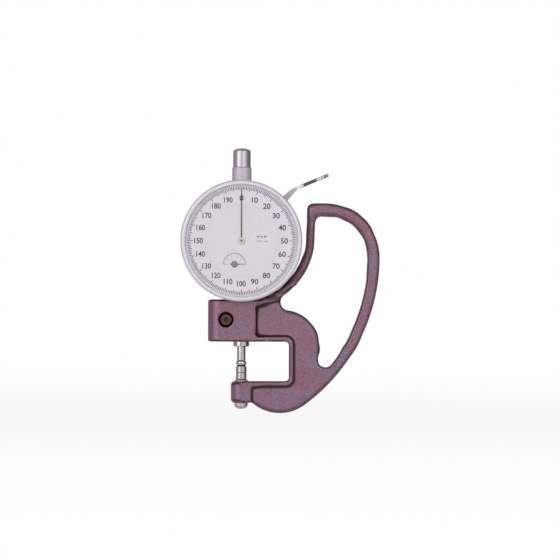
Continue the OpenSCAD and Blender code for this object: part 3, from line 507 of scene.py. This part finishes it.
ringed_hub, tree, shader, place = new_finish("black_hub_with_bright_ring")
radius = axis_distance(tree, place, (COUNTER.x, 0.0, COUNTER.z), (1.0, 0.0, 1.0))
share = add_node(tree, "ShaderNodeMath", {0: radius, 1: HUB_REACH * MM}, operation="DIVIDE")
rings = add_node(tree, "ShaderNodeValToRGB", {"Fac": share.outputs[0]})
ramp_stops(rings, [(0.16, "#2A2425"), (0.2, "#B9B0AE"), (0.44, "#B9B0AE"), (0.5, "#2A2425")])
_, _, gloss = patchy(tree, place, INK_PATCH, 2.0, rough=(0.35, 0.55))
set_inputs(tree, shader, {"Base Color": rings.outputs[0], "Roughness": gloss})
print(ringed_hub.name, "at", [round(v, 4) for v in COUNTER])

# %% [markdown]
# The lifting lever is a bent strip with chrome plating. Its tones are painted reflections: bright
# at the bend and under the thumb, dark between them, and darker along the edges. A ramp along X
# draws the tones, and the distance from the middle line of the straight part draws the edges.

# %% Chrome-plated lever strip
STRIP_START, STRIP_END = 20.0, 41.0  # mm along X, from the case to the tip
STRAIGHT_FROM, STRAIGHT_FADE = 27.3, 0.5  # mm along X, where the bend ends, and the blend there
STRIP_SLOPE = math.tan(math.radians(22.3))
TIP_X, TIP_Z = 40.46, DIAL_Z / MM + 31.0  # mm, on the strip's middle line
EDGE_FROM, EDGE_TO = 0.35, 0.65  # mm off the middle line, where the edge's painted dark reflection starts and is full
EDGE_TONE = 0.4  # share of the brightness that the painted reflection leaves at the edge
REFLECTION_TONES = [(20.0, "#B5B0B3"), (23.5, "#C9C5C7"), (26.0, "#D5D1D3"), (26.1, "#868284"),
         (28.7, "#868284"), (29.2, "#353033"), (31.0, "#353033"), (31.15, "#776D71"),
         (35.0, "#6E6468"), (35.3, "#F4F2F3"), (37.2, "#F4F2F3"), (37.7, "#8A8688"),
         (39.2, "#8A8688"), (39.6, "#FFFFFF")]  # mm along X, painted reflection tone

plated_strip, tree, shader, place = new_finish("chrome_plated_strip_painted_reflections")
spot = add_node(tree, "ShaderNodeSeparateXYZ", {"Vector": place}).outputs
along = add_node(tree, "ShaderNodeMapRange", {"Value": spot["X"], "From Min": STRIP_START * MM,
                                              "From Max": STRIP_END * MM})
tone = add_node(tree, "ShaderNodeValToRGB", {"Fac": along.outputs["Result"]})
ramp_stops(tone, [((x - STRIP_START) / (STRIP_END - STRIP_START), colour) for x, colour in REFLECTION_TONES])
middle = add_node(tree, "ShaderNodeMath", {0: spot["X"], 1: STRIP_SLOPE,
                                           2: (TIP_Z - STRIP_SLOPE * TIP_X) * MM},
                  operation="MULTIPLY_ADD")
off = add_node(tree, "ShaderNodeMath", {0: spot["Z"], 1: middle.outputs[0]}, operation="SUBTRACT")
off = add_node(tree, "ShaderNodeMath", {0: off.outputs[0]}, operation="ABSOLUTE")
# Painted reflection: darker towards the edges of the straight part.
edge = add_node(tree, "ShaderNodeMapRange",
                {"Value": off.outputs[0], "From Min": EDGE_FROM * MM, "From Max": EDGE_TO * MM,
                 "To Min": 1.0, "To Max": EDGE_TONE})
straight = add_node(tree, "ShaderNodeMapRange",
                    {"Value": spot["X"], "From Min": (STRAIGHT_FROM - STRAIGHT_FADE) * MM,
                     "From Max": (STRAIGHT_FROM + STRAIGHT_FADE) * MM})
edge_reflection = add_node(tree, "ShaderNodeMix", {0: straight.outputs["Result"], 2: 1.0,
                                          3: edge.outputs["Result"]}, data_type="FLOAT")
colour = add_node(tree, "ShaderNodeVectorMath", {0: tone.outputs[0], "Scale": edge_reflection.outputs[0]},
                  operation="SCALE")
_, _, gloss = patchy(tree, place, SMEAR, 3.0, rough=(0.14, 0.22))
set_inputs(tree, shader, {"Base Color": colour.outputs[0], "Roughness": gloss, "Metallic": 1.0})
print(plated_strip.name, len(REFLECTION_TONES), "tones")

# %% [markdown]
# Most pieces keep their solids from the frame, because turned and stamped metal is just what those
# solids show. Each of them now gets the finish of the real piece.

# %% Finishes on the carried-over pieces
FINISH = {
    anvil_steel: ["anvil"],
    turned_steel: ["lower_stem", "spindle", "back_cover_screws", "lift_pin", "guide_pin",
                   "guide_rail", "spring_post", "lever_pivot", "movement_screws", "rack_pinion",
                   "second_pinion", "hairspring_stud"],
    blued_steel: ["counter_arbor"],
    worn_steel: ["centre_pinion"],
    cap_steel: ["dust_cap"],
    grooved_steel: ["contact_point"],
    dull_steel: ["upper_sleeve"],
    plated_strip: ["lifting_lever"],
    oiled_screw: ["clamp_screw"],
    spring_wire: ["bezel_retaining_wire", "hairspring", "return_spring"],
    movement_brass: ["stem_bush", "upper_bush", "movement_plate", "movement_pillars",
                     "pinion_cock", "first_wheel", "second_wheel", "counter_wheel",
                     "hairspring_collet"],
    hub_cream: ["pointer_hub"],
    satin_alloy: ["case_body", "back_cover", "bezel"],
    dial_lacquer: ["dial_ring", "dial_plate"],
    hand_paint: ["pointer", "counter_hand"],
    ringed_hub: ["counter_hub"],
    crystal_acrylic: ["crystal"],
    hammer_enamel: ["frame"],
}
for material, names in FINISH.items():
    for name in names:
        slots = nodes[name].data.materials
        slots.clear()
        slots.append(material)
print("finished", sum(len(v) for v in FINISH.values()), "of", len(nodes))

# %% [markdown]
# ## The casting
# A sand casting has no sharp edges: every step runs out in a small fillet and every edge is round.
# The solid of the frame has crisp steps, and bevels on all of them would run into each other. So a
# copy of the solid is welded and rebuilt as an even skin of small squares, which can be pushed and
# smoothed point by point.

# %% Even skin on the frame
SKIN = 0.42  # mm, size of the skin's squares
WELD = 0.002  # mm, points of the solid closer than this become one


def plain_mesh(made):
    finished = made.evaluated_get(bpy.context.evaluated_depsgraph_get())
    return bpy.data.meshes.new_from_object(finished)


work = bmesh.new()
work.from_mesh(nodes["frame"].data)
bmesh.ops.remove_doubles(work, verts=work.verts, dist=WELD * MM)
sharp_mesh = bpy.data.meshes.new("sharp_frame")
work.to_mesh(sharp_mesh)
work.free()
skin = bpy.data.objects.new("cast_skin", sharp_mesh)
scene.collection.objects.link(skin)
remesh = skin.modifiers.new("even_skin", "REMESH")
remesh.mode = "VOXEL"
remesh.voxel_size = SKIN * MM
cast_mesh = plain_mesh(skin)
bpy.data.objects.remove(skin)
cast_mesh.name = "cast_frame"
print("skin of", len(cast_mesh.polygons), "squares")

# %% [markdown]
# The points, normals and edges of the skin go into arrays, which are quick to work on. Smoothing
# moves every point half way to the mean of its neighbours, once in each round.


# %% Reading and smoothing the skin
def read_mesh(collection, field, width, kind):
    values = np.zeros(len(collection) * width, kind)
    collection.foreach_get(field, values)
    return values.reshape(-1, width)


def smoothed(values, edges, rounds):
    size = len(values)
    count = np.bincount(edges.ravel(), minlength=size)[:, None]
    for _ in range(rounds):
        total = np.zeros_like(values)
        for column in range(values.shape[1]):
            total[:, column] = (np.bincount(edges[:, 0], values[edges[:, 1], column], size)
                                + np.bincount(edges[:, 1], values[edges[:, 0], column], size))
        values = (values + total / count) / 2
    return values


points = read_mesh(cast_mesh.vertices, "co", 3, np.float32).astype(float)
outward = read_mesh(cast_mesh.vertices, "normal", 3, np.float32)
edges = read_mesh(cast_mesh.edges, "vertices", 2, np.int32)
print("points", len(points), "edges", len(edges))

# %% [markdown]
# A pattern maker dresses single places of a casting's pattern by hand, with file and wax. Here each
# such place is a round spot on the front view, and what lies in it is pushed sideways, most in the
# middle and fading to nothing at its reach.

# %% Dressed places
DRESSED = [  # mm: x, z, push along x, push along z, reach
    # the land's groove, the crotch's bottom, the underside and the corners of the loop's bar
    (11.2, 34.5, 0.0, 0.85, 3.0), (39.4, 9.2, 0.0, -1.8, 6.5), (39.0, 75.0, 0.0, -1.1, 6.5),
    (34.8, 76.6, 0.5, -0.5, 3.0), (32.3, 81.7, 0.4, -0.4, 2.6),
    # the crotch's wall, the web's bulge above it, the arm's edge inside the loop
    (36.6, 8.2, -0.8, 0.0, 4.0), (36.7, 13.8, 0.45, 0.0, 4.0), (31.4, 66.5, -0.36, 0.0, 9.0),
    (30.2, 58.0, -0.22, 0.06, 5.0),
    # the loop's shoulder and inner edge, its limb from the top down, the web's edge
    (52.3, 80.2, 0.27, 0.33, 5.5), (56.6, 77.3, 0.3, 0.3, 5.5), (60.1, 73.3, 0.37, 0.26, 5.5),
    (48.2, 75.3, -0.23, -0.28, 4.5), (43.4, 76.3, 0.0, -0.3, 4.5), (55.6, 70.2, -0.12, -0.1, 4.0),
    (58.9, 61.0, -0.24, 0.0, 5.0), (58.9, 56.3, -0.2, 0.0, 5.0), (58.9, 51.6, -0.24, 0.0, 5.0),
    (51.8, 17.0, 0.36, -0.22, 8.0), (34.8, 22.4, 0.36, -0.16, 4.5), (45.6, 11.6, 0.4, -0.3, 4.5),
    # the lower arm's edge
    (27.7, 55.5, -0.42, 0.2, 6.0), (25.0, 50.8, -0.42, 0.24, 6.0), (21.8, 46.5, -0.35, 0.28, 6.0)]


def reaches_away(points, x, z, reach):
    return np.hypot(points[:, 0] - x * MM, points[:, 2] - z * MM) / (reach * MM)


for x, z, push_x, push_z, reach in DRESSED:
    weight = np.clip(1 - reaches_away(points, x, z, reach) ** 2, 0, 1) ** 2
    points[:, 0] += weight * push_x * MM
    points[:, 2] += weight * push_z * MM
print("dressed", len(DRESSED), "places")

# %% [markdown]
# The raised rim around the throat is dressed narrower: the groove behind it moves towards the
# throat. The throat's outline is a box with round corners, and the distance from it gives both the
# groove's place and the way to push.

# %% Narrower rim around the throat
THROAT = (13.0, 9.2, 9.5, 10.1, 2.0)  # mm: middle x and z, half width, half height, corner
RIM = (2.7, 2.2, 0.5)  # mm: from the throat's edge to the groove, reach, push
RIM_FROM, RIM_BLEND = 7.0, 3.0  # mm along x, where the push starts, and its run-in
TINY = 0.001  # mm, keeps a division from zero

mid_x, mid_z, half_x, half_z, bend = (value * MM for value in THROAT)
groove_at, reach, push = (value * MM for value in RIM)
over_x = np.maximum(points[:, 0] - mid_x - half_x + bend, 0)
over_z = np.maximum(np.abs(points[:, 2] - mid_z) - half_z + bend, 0)
over = np.maximum(np.hypot(over_x, over_z), TINY * MM)
weight = np.clip(1 - ((over - bend - groove_at) / reach) ** 2, 0, 1) ** 2
weight *= push / over * np.clip((points[:, 0] - RIM_FROM * MM) / (RIM_BLEND * MM), 0, 1)
points[:, 0] -= weight * over_x
points[:, 2] -= weight * over_z * np.sign(points[:, 2] - mid_z)
print("rim points moved", int((weight > 0).sum()))

# %% [markdown]
# A few corners of the real casting have a bigger fillet than the rest, so they get extra rounds of
# smoothing first. Then the whole skin is smoothed, which rounds its edges and fills its corners.

# %% Softened corners and cast rounding
CAST_ROUNDS = 4  # rounds of smoothing, about 0.6 mm of rounding
SOFT_ROUNDS = 12  # extra rounds at the softened corners
SOFT_END = 1.4  # reaches from a corner to the end of its softening, full up to 0.4
SOFTENED = [(12.6, 36.0, 4.5), (7.9, 34.0, 2.6), (7.9, 21.6, 2.6), (32.2, 81.6, 3.0)]
# mm: x, z and reach of the land, of both pocket corners and of the loop's corner

softer = smoothed(points, edges, SOFT_ROUNDS)
near = np.zeros(len(points))
for x, z, reach in SOFTENED:
    near = np.maximum(near, np.clip(SOFT_END - reaches_away(points, x, z, reach), 0, 1))
points = points + (softer - points) * near[:, None]
cast_points = smoothed(points, edges, CAST_ROUNDS)
print("softened points", int((near > 0).sum()))

# %% [markdown]
# The painted shade needs to know corner from edge. Smoothing pushes a point in a corner outwards
# and one on an edge inwards, so the way that each point moves tells which it is. The lower arm
# close behind the bezel is also darker, in a band around the dial's axis: painted shade where the
# bezel overhangs it.

# %% Corners, edges and the painted shade behind the bezel
CORNER_ROUNDS = 11  # rounds that find the corners
CORNER_DEPTH = 0.25  # mm of filling that counts as a full corner
OUTLINE_ROUNDS = 7  # rounds that find the edges
OUTLINE_DEPTH = 0.18  # mm of lost metal that counts as a full edge
CORNER_BLUR, OUTLINE_BLUR = 2, 1  # rounds that even these numbers out over the skin
# The band of painted shade on the lower arm, behind the bezel:
BEZEL_SHADE_R, BEZEL_SHADE_HALF = 30.4, 2.2  # mm, middle of the band and half its width
BEZEL_SHADE_TURN, BEZEL_SHADE_SPAN = -57.0, 22.0  # degrees, middle of the band and half its length
BEZEL_SHADE_SIDE, BEZEL_SHADE_END = 2.0, 1.5  # how steeply the band starts at its sides and ends
BEZEL_SHADE_TONE = 0.28  # how dark the painted shade is, as a share of a full edge


def moved_out(rounds, depth):
    step = smoothed(points, edges, rounds) - points
    return (step * outward).sum(axis=1) / (depth * MM)


filling = smoothed(moved_out(CORNER_ROUNDS, CORNER_DEPTH)[:, None], edges, CORNER_BLUR)[:, 0]
edge_and_bezel_shade = smoothed(moved_out(OUTLINE_ROUNDS, OUTLINE_DEPTH)[:, None], edges, OUTLINE_BLUR)[:, 0]
radial = np.hypot(points[:, 0], points[:, 2] - DIAL_Z) / MM
angle = np.degrees(np.arctan2(points[:, 2] - DIAL_Z, points[:, 0]))
painted_shade = np.clip(BEZEL_SHADE_SIDE * (1 - np.abs(radial - BEZEL_SHADE_R) / BEZEL_SHADE_HALF), 0, 1)
painted_shade *= np.clip(BEZEL_SHADE_END * (1 - np.abs(angle - BEZEL_SHADE_TURN) / BEZEL_SHADE_SPAN), 0, 1)
edge_and_bezel_shade = np.minimum(edge_and_bezel_shade, 0) - BEZEL_SHADE_TONE * painted_shade
print("corner filling", np.percentile(filling, [1, 5, 50, 95, 99]).round(2))

# %% [markdown]
# A corner's painted shade also reaches a little up the wall of a step. Each corner's number is
# passed on from neighbour to neighbour, and counts only where the skin is steep. The result goes
# into the mesh as the attribute that the enamel reads, and the mesh takes the place of the frame's
# solid.

# %% Cast frame with its paint number
CLIMB = 4  # squares that a corner's painted shade reaches up a step's wall
WALL_GAIN = 1.5  # how fast a filled corner counts as a full one
STEEP_FROM, STEEP_SPAN = 0.01, 0.08  # slope, 0 in front view and 1 on edge: start and run-in
WALL_LEAST = 0.02  # a wall below this shows plain paint or an edge's painted shade
PAINT_BLUR = 1  # rounds that even the paint's number out


def place_piece(name, mesh, body, replaced=()):
    piece = bpy.data.objects.new(name, mesh)
    scene.collection.objects.link(piece)
    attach(piece, body)
    if replaced:
        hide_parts(*replaced)


cast_mesh.vertices.foreach_set("co", cast_points.astype(np.float32).ravel())
cast_mesh.update()
slope = 1 - np.abs(read_mesh(cast_mesh.vertices, "normal", 3, np.float32)[:, 1])
climbed = np.clip(filling, 0, 1)
for _ in range(CLIMB):
    top = climbed.copy()
    np.maximum.at(top, edges[:, 0], climbed[edges[:, 1]])
    np.maximum.at(top, edges[:, 1], climbed[edges[:, 0]])
    climbed = top
# Painted shade: steep walls near corners take the corner's, other points the edges' and the band's.
wall = np.clip(WALL_GAIN * climbed, 0, 1) * np.clip((slope - STEEP_FROM) / STEEP_SPAN, 0, 1)
paint = np.where(wall > WALL_LEAST, wall, edge_and_bezel_shade)
paint = smoothed(paint[:, None], edges, PAINT_BLUR)[:, 0]
corner_and_edge_shade = cast_mesh.attributes.new("corner_and_edge_shade", "FLOAT", "POINT")
corner_and_edge_shade.data.foreach_set("value", np.clip(0.5 + paint / 2, 0, 1).astype(np.float32))
cast_mesh.materials.clear()
cast_mesh.materials.append(hammer_enamel)
for face in cast_mesh.polygons:
    face.use_smooth = True
    face.material_index = 0
place_piece("cast_frame", cast_mesh, "frame_unit", ["frame"])
print("cast frame", len(cast_mesh.polygons), "faces")

# %% [markdown]
# ## Printed scales
# The turning ring has 200 marks. Geometry Nodes lay them out: a row of points gets an angle from
# each point's number, and a thin bar stands at each point, longer at every fifth and tenth one.
# The same tree draws the half circle of the small counter scale.

# %% The tree that lays out scale marks
MARK_INPUTS = {
    "NodeSocketInt": ["Marks", "Every Middle", "Every Long"],
    "NodeSocketFloat": ["First Angle", "Step Angle", "Outer Radius", "Short", "Middle", "Long",
                        "Width", "Film"],
    "NodeSocketVector": ["Centre"],
    "NodeSocketMaterial": ["Ink"],
}


def build_mark_tree():
    tree = bpy.data.node_groups.new("scale_marks", "GeometryNodeTree")
    for kind, names in MARK_INPUTS.items():
        for name in names:
            tree.interface.new_socket(name, in_out="INPUT", socket_type=kind)
    tree.interface.new_socket("Geometry", in_out="OUTPUT", socket_type="NodeSocketGeometry")
    given = add_node(tree, "NodeGroupInput").outputs
    row = add_node(tree, "GeometryNodeMeshLine", {"Count": given["Marks"], "Offset": (0, 0, 0)})
    number = add_node(tree, "GeometryNodeInputIndex").outputs[0]
    turn = add_node(tree, "ShaderNodeMath",
                    {0: number, 1: given["Step Angle"], 2: given["First Angle"]},
                    operation="MULTIPLY_ADD").outputs[0]
    sine = add_node(tree, "ShaderNodeMath", {0: turn}, operation="SINE").outputs[0]
    cosine = add_node(tree, "ShaderNodeMath", {0: turn}, operation="COSINE").outputs[0]
    spoke = add_node(tree, "ShaderNodeCombineXYZ", {"X": sine, "Z": cosine}).outputs[0]
    reach = add_node(tree, "ShaderNodeVectorMath", {0: spoke, "Scale": given["Outer Radius"]},
                     operation="SCALE")
    spot = add_node(tree, "ShaderNodeVectorMath", {0: reach.outputs[0], 1: given["Centre"]},
                    operation="ADD")
    points = add_node(tree, "GeometryNodeSetPosition",
                      {"Geometry": row.outputs[0], "Position": spot.outputs[0]})
    length = given["Short"]
    for every, longer in (("Every Middle", "Middle"), ("Every Long", "Long")):
        rest = add_node(tree, "ShaderNodeMath", {0: number, 1: given[every]},
                        operation="MODULO").outputs[0]
        hit = add_node(tree, "ShaderNodeMath", {0: rest, 1: 0.5},
                       operation="LESS_THAN").outputs[0]
        length = add_node(tree, "ShaderNodeMix", {0: hit, 2: length, 3: given[longer]},
                          data_type="FLOAT").outputs[0]
    bar = add_node(tree, "GeometryNodeMeshCube", {"Size": (1, 1, 1)})
    hang = add_node(tree, "GeometryNodeTransform",
                    {"Geometry": bar.outputs["Mesh"], "Translation": (0, 0, -0.5)})
    shape = add_node(tree, "ShaderNodeCombineXYZ",
                     {"X": given["Width"], "Y": given["Film"], "Z": length})
    tilt = add_node(tree, "ShaderNodeCombineXYZ", {"Y": turn})
    marks = add_node(tree, "GeometryNodeInstanceOnPoints",
                     {"Points": points.outputs[0], "Instance": hang.outputs[0],
                      "Rotation": tilt.outputs[0], "Scale": shape.outputs[0]})
    solid = add_node(tree, "GeometryNodeRealizeInstances", {"Geometry": marks.outputs[0]})
    inked = add_node(tree, "GeometryNodeSetMaterial",
                     {"Geometry": solid.outputs[0], "Material": given["Ink"]})
    add_node(tree, "NodeGroupOutput", {"Geometry": inked.outputs[0]})
    return tree


mark_tree = build_mark_tree()
print("marks tree has", len(mark_tree.nodes), "nodes")

# %% [markdown]
# A modifier on an empty carrier runs the tree. Its inputs are set by their identifiers, the result
# is kept as a plain mesh, and the carrier goes.

# %% Marks of the turning ring and of the counter
RING_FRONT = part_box("dial_ring")[0].y
FILM = 0.03  # mm, thickness of the print, drawn thick so that it shows
INK_Y = RING_FRONT - FILM / 2 * MM
RING_MARKS, COUNTER_MARKS = 200, 21
BAR_FACES = 6  # of one mark, to count them


def grown_mesh(tree, name, settings):
    carrier = bpy.data.objects.new(name, bpy.data.meshes.new(name))
    scene.collection.objects.link(carrier)
    modifier = carrier.modifiers.new("grow", "NODES")
    modifier.node_group = tree
    for item in tree.interface.items_tree:
        if item.in_out == "INPUT" and item.name in settings:
            modifier[item.identifier] = settings[item.name]
    mesh = plain_mesh(carrier)
    carrier.modifiers.remove(modifier)
    bpy.data.objects.remove(carrier)
    mesh.name = name
    return mesh


ring_marks = grown_mesh(mark_tree, "ring_marks", {
    "Marks": RING_MARKS, "First Angle": 0.0, "Step Angle": math.radians(360 / RING_MARKS),
    "Outer Radius": 25.5 * MM, "Short": 1.6 * MM, "Middle": 2.1 * MM, "Long": 2.6 * MM,
    "Every Middle": 5, "Every Long": 10, "Width": 0.33 * MM, "Film": FILM * MM,
    "Centre": (0, INK_Y, DIAL_Z), "Ink": tick_ink})
place_piece("ring_marks", ring_marks, "bezel_unit")
counter_marks = grown_mesh(mark_tree, "counter_marks", {
    "Marks": COUNTER_MARKS, "First Angle": -math.pi / 2,
    "Step Angle": math.radians(180 / (COUNTER_MARKS - 1)),
    "Outer Radius": 5.2 * MM, "Short": 0.45 * MM, "Middle": 0.8 * MM, "Long": 0.8 * MM,
    "Every Middle": 4, "Every Long": 20, "Width": 0.16 * MM, "Film": FILM * MM,
    "Centre": (COUNTER.x, INK_Y, COUNTER.z), "Ink": tick_ink})
place_piece("counter_marks", counter_marks, "frame_unit")
print("marks", len(ring_marks.polygons) // BAR_FACES,
      "and", len(counter_marks.polygons) // BAR_FACES)

# %% [markdown]
# The counter's scale hangs on a thin half circle with a base line, and beside the middle a small
# sign with two arrows shows both ways of travel. Each is a set of flat outlines in the plane of the
# dial, welded into one sheet whose faces all look to the front.

# %% Counter arc and travel sign
PRINT_Y = RING_FRONT - FILM * MM
PRINT_WELD = 0.0005  # mm, points of a print closer than this become one
ARC_IN, ARC_OUT, ARC_PARTS = 5.04, 5.26, 40  # mm, mm, number of short strips
BASE_END, BASE_HALF = 2.8, 0.1  # mm from the counter's middle, half the line's width
SIGN_X, SIGN_Z = 9.4, DIAL_Z / MM + 2.0  # mm, middle of the travel sign
EYE_IN, EYE_OUT, EYE_PARTS = 0.3, 0.48, 16  # the small ring in the sign's middle
ARROW_TIP, ARROW_NECK, ARROW_HALF = 2.5, 1.35, 0.42  # mm from the middle, half its height
SHAFT_START, SHAFT_HALF = 0.85, 0.09  # mm from the middle, half its height


def inked_sheet(name, sheet, ink):
    bmesh.ops.remove_doubles(sheet, verts=sheet.verts, dist=PRINT_WELD * MM)
    bmesh.ops.recalc_face_normals(sheet, faces=sheet.faces)
    for face in sheet.faces:
        face.normal_update()
        if face.normal.y > 0:
            face.normal_flip()
    mesh = bpy.data.meshes.new(name)
    sheet.to_mesh(mesh)
    sheet.free()
    mesh.materials.append(ink)
    return mesh


def flat_print(name, outlines, ink):
    sheet = bmesh.new()
    for outline in outlines:
        sheet.faces.new([sheet.verts.new((x * MM, PRINT_Y, z * MM)) for x, z in outline])
    return inked_sheet(name, sheet, ink)


def arc_strips(x, z, inner, outer, end, count):
    turns = [math.radians(end * k / count) for k in range(count + 1)]
    rims = [[(x + r * math.cos(a), z + r * math.sin(a)) for a in turns] for r in (inner, outer)]
    return [(rims[0][k], rims[0][k + 1], rims[1][k + 1], rims[1][k]) for k in range(count)]


def bar(x0, z0, x1, z1):
    return [(x0, z0), (x1, z0), (x1, z1), (x0, z1)]


counter_x, counter_z = COUNTER.x / MM, COUNTER.z / MM
outlines = arc_strips(counter_x, counter_z, ARC_IN, ARC_OUT, 180, ARC_PARTS)
outlines.append(bar(counter_x - ARC_OUT, counter_z - BASE_HALF,
                    counter_x - BASE_END, counter_z + BASE_HALF))
counter_arc = flat_print("counter_arc", outlines, faint_ink)
place_piece("counter_arc", counter_arc, "frame_unit")
outlines = arc_strips(SIGN_X, SIGN_Z, EYE_IN, EYE_OUT, 360, EYE_PARTS)
for side in (-1, 1):
    neck = SIGN_X + side * ARROW_NECK
    outlines.append([(SIGN_X + side * ARROW_TIP, SIGN_Z), (neck, SIGN_Z + ARROW_HALF),
                     (neck, SIGN_Z - ARROW_HALF)])
    outlines.append(bar(SIGN_X + side * SHAFT_START, SIGN_Z - SHAFT_HALF,
                        neck, SIGN_Z + SHAFT_HALF))
travel_sign = flat_print("travel_sign", outlines, number_ink)
place_piece("travel_sign", travel_sign, "frame_unit")
print("arc and sign", len(counter_arc.polygons), "and", len(travel_sign.polygons), "faces")

# %% [markdown]
# The bezel is turned by hand, so its side has straight grip ribs. The tree of the scale marks can
# lay them too: a rib is a mark that is short outward and deep along the dial's axis.

# %% Grip ribs of the bezel
RIBS = 150  # around the bezel
RIB_FRONT, RIB_BACK = -13.0, -8.4  # mm along the dial's axis
RIB_OUT = 0.5 * MM  # length of a rib along the radius

bezel_ribs = grown_mesh(mark_tree, "bezel_ribs", {
    "Marks": RIBS, "First Angle": 0.0, "Step Angle": math.radians(360 / RIBS),
    "Outer Radius": 28.6 * MM, "Short": RIB_OUT, "Middle": RIB_OUT, "Long": RIB_OUT,
    "Every Middle": 5, "Every Long": 10, "Width": 0.45 * MM, "Film": (RIB_BACK - RIB_FRONT) * MM,
    "Centre": (0, (RIB_FRONT + RIB_BACK) / 2 * MM, DIAL_Z), "Ink": satin_alloy})
place_piece("bezel_ribs", bezel_ribs, "bezel_unit")
print("ribs", len(bezel_ribs.polygons) // BAR_FACES)

# %% [markdown]
# Numbers stand upright around the ring at every tenth mark. Each one is a text object, made a flat
# mesh first and then moved to its place, and all numbers of the ring become one printed piece. The
# plate carries the counter's numbers and the unit.

# %% Printed numbers
NUMBER_R = 20.1  # mm, from the dial's middle to the middle of a number
NUMBER_HIGH = 2.65  # mm, height of a number
NUMBER_BOLD = 0.02  # thickening of the strokes, as a share of the type's size
WIDTHS = {1: 1.1, 2: 1.0, 3: 0.88}  # squeeze of numbers with one, two and three digits
NUMBERS = 20  # around the ring
DIGIT_R, DIGIT_HIGH, DIGIT_WIDTH = 3.75, 0.85, 0.9  # mm, mm, squeeze of the counter's digits
DIGIT_STEP = 36  # degrees from one of them to the next
UNIT_AT, UNIT_HIGH = (9.75, DIAL_Z / MM - 0.15), 0.95  # mm, middle and height of the unit


def printed(name, words, ink):
    sheet = bmesh.new()
    for body, height, squeeze, bold, (x, z) in words:
        curve = bpy.data.curves.new("word", "FONT")
        curve.body = body
        curve.align_x = "CENTER"
        curve.align_y = "CENTER"
        curve.resolution_u = 4
        curve.offset = bold
        text = bpy.data.objects.new("word", curve)
        scene.collection.objects.link(text)
        mesh = plain_mesh(text)
        bpy.data.objects.remove(text)
        outline = read_mesh(mesh.vertices, "co", 3, np.float32).astype(float)
        low, high = outline.min(axis=0), outline.max(axis=0)
        size = height * MM / (high[1] - low[1])
        centre = Matrix.Translation((-(low[0] + high[0]) / 2, -(low[1] + high[1]) / 2, 0))
        mesh.transform(Matrix.Translation((x * MM, PRINT_Y, z * MM))
                       @ Matrix.Rotation(math.pi / 2, 4, "X")
                       @ Matrix.Diagonal((size * squeeze, size, size, 1)) @ centre)
        sheet.from_mesh(mesh)
        bpy.data.meshes.remove(mesh)
    return inked_sheet(name, sheet, ink)


words = []
for i in range(NUMBERS):
    turn = math.radians(360 / NUMBERS * i)
    number = str(RING_MARKS // NUMBERS * i)
    words.append((number, NUMBER_HIGH, WIDTHS[len(number)], NUMBER_BOLD,
                  (NUMBER_R * math.sin(turn), DIAL_Z / MM + NUMBER_R * math.cos(turn))))
ring_numbers = printed("ring_numbers", words, number_ink)
place_piece("ring_numbers", ring_numbers, "bezel_unit")

words = []
for i, digit in enumerate("2468"):
    turn = math.radians(DIGIT_STEP * (i + 1))
    words.append((digit, DIGIT_HIGH, DIGIT_WIDTH, 0.0,
                  (counter_x + DIGIT_R * math.cos(turn), counter_z + DIGIT_R * math.sin(turn))))
words.append(("0.001 mm", UNIT_HIGH, 1.0, 0.0, UNIT_AT))
plate_words = printed("plate_numbers", words, faint_ink)
place_piece("plate_numbers", plate_words, "frame_unit")
print("numbers", len(ring_numbers.polygons), "and", len(plate_words.polygons), "faces")
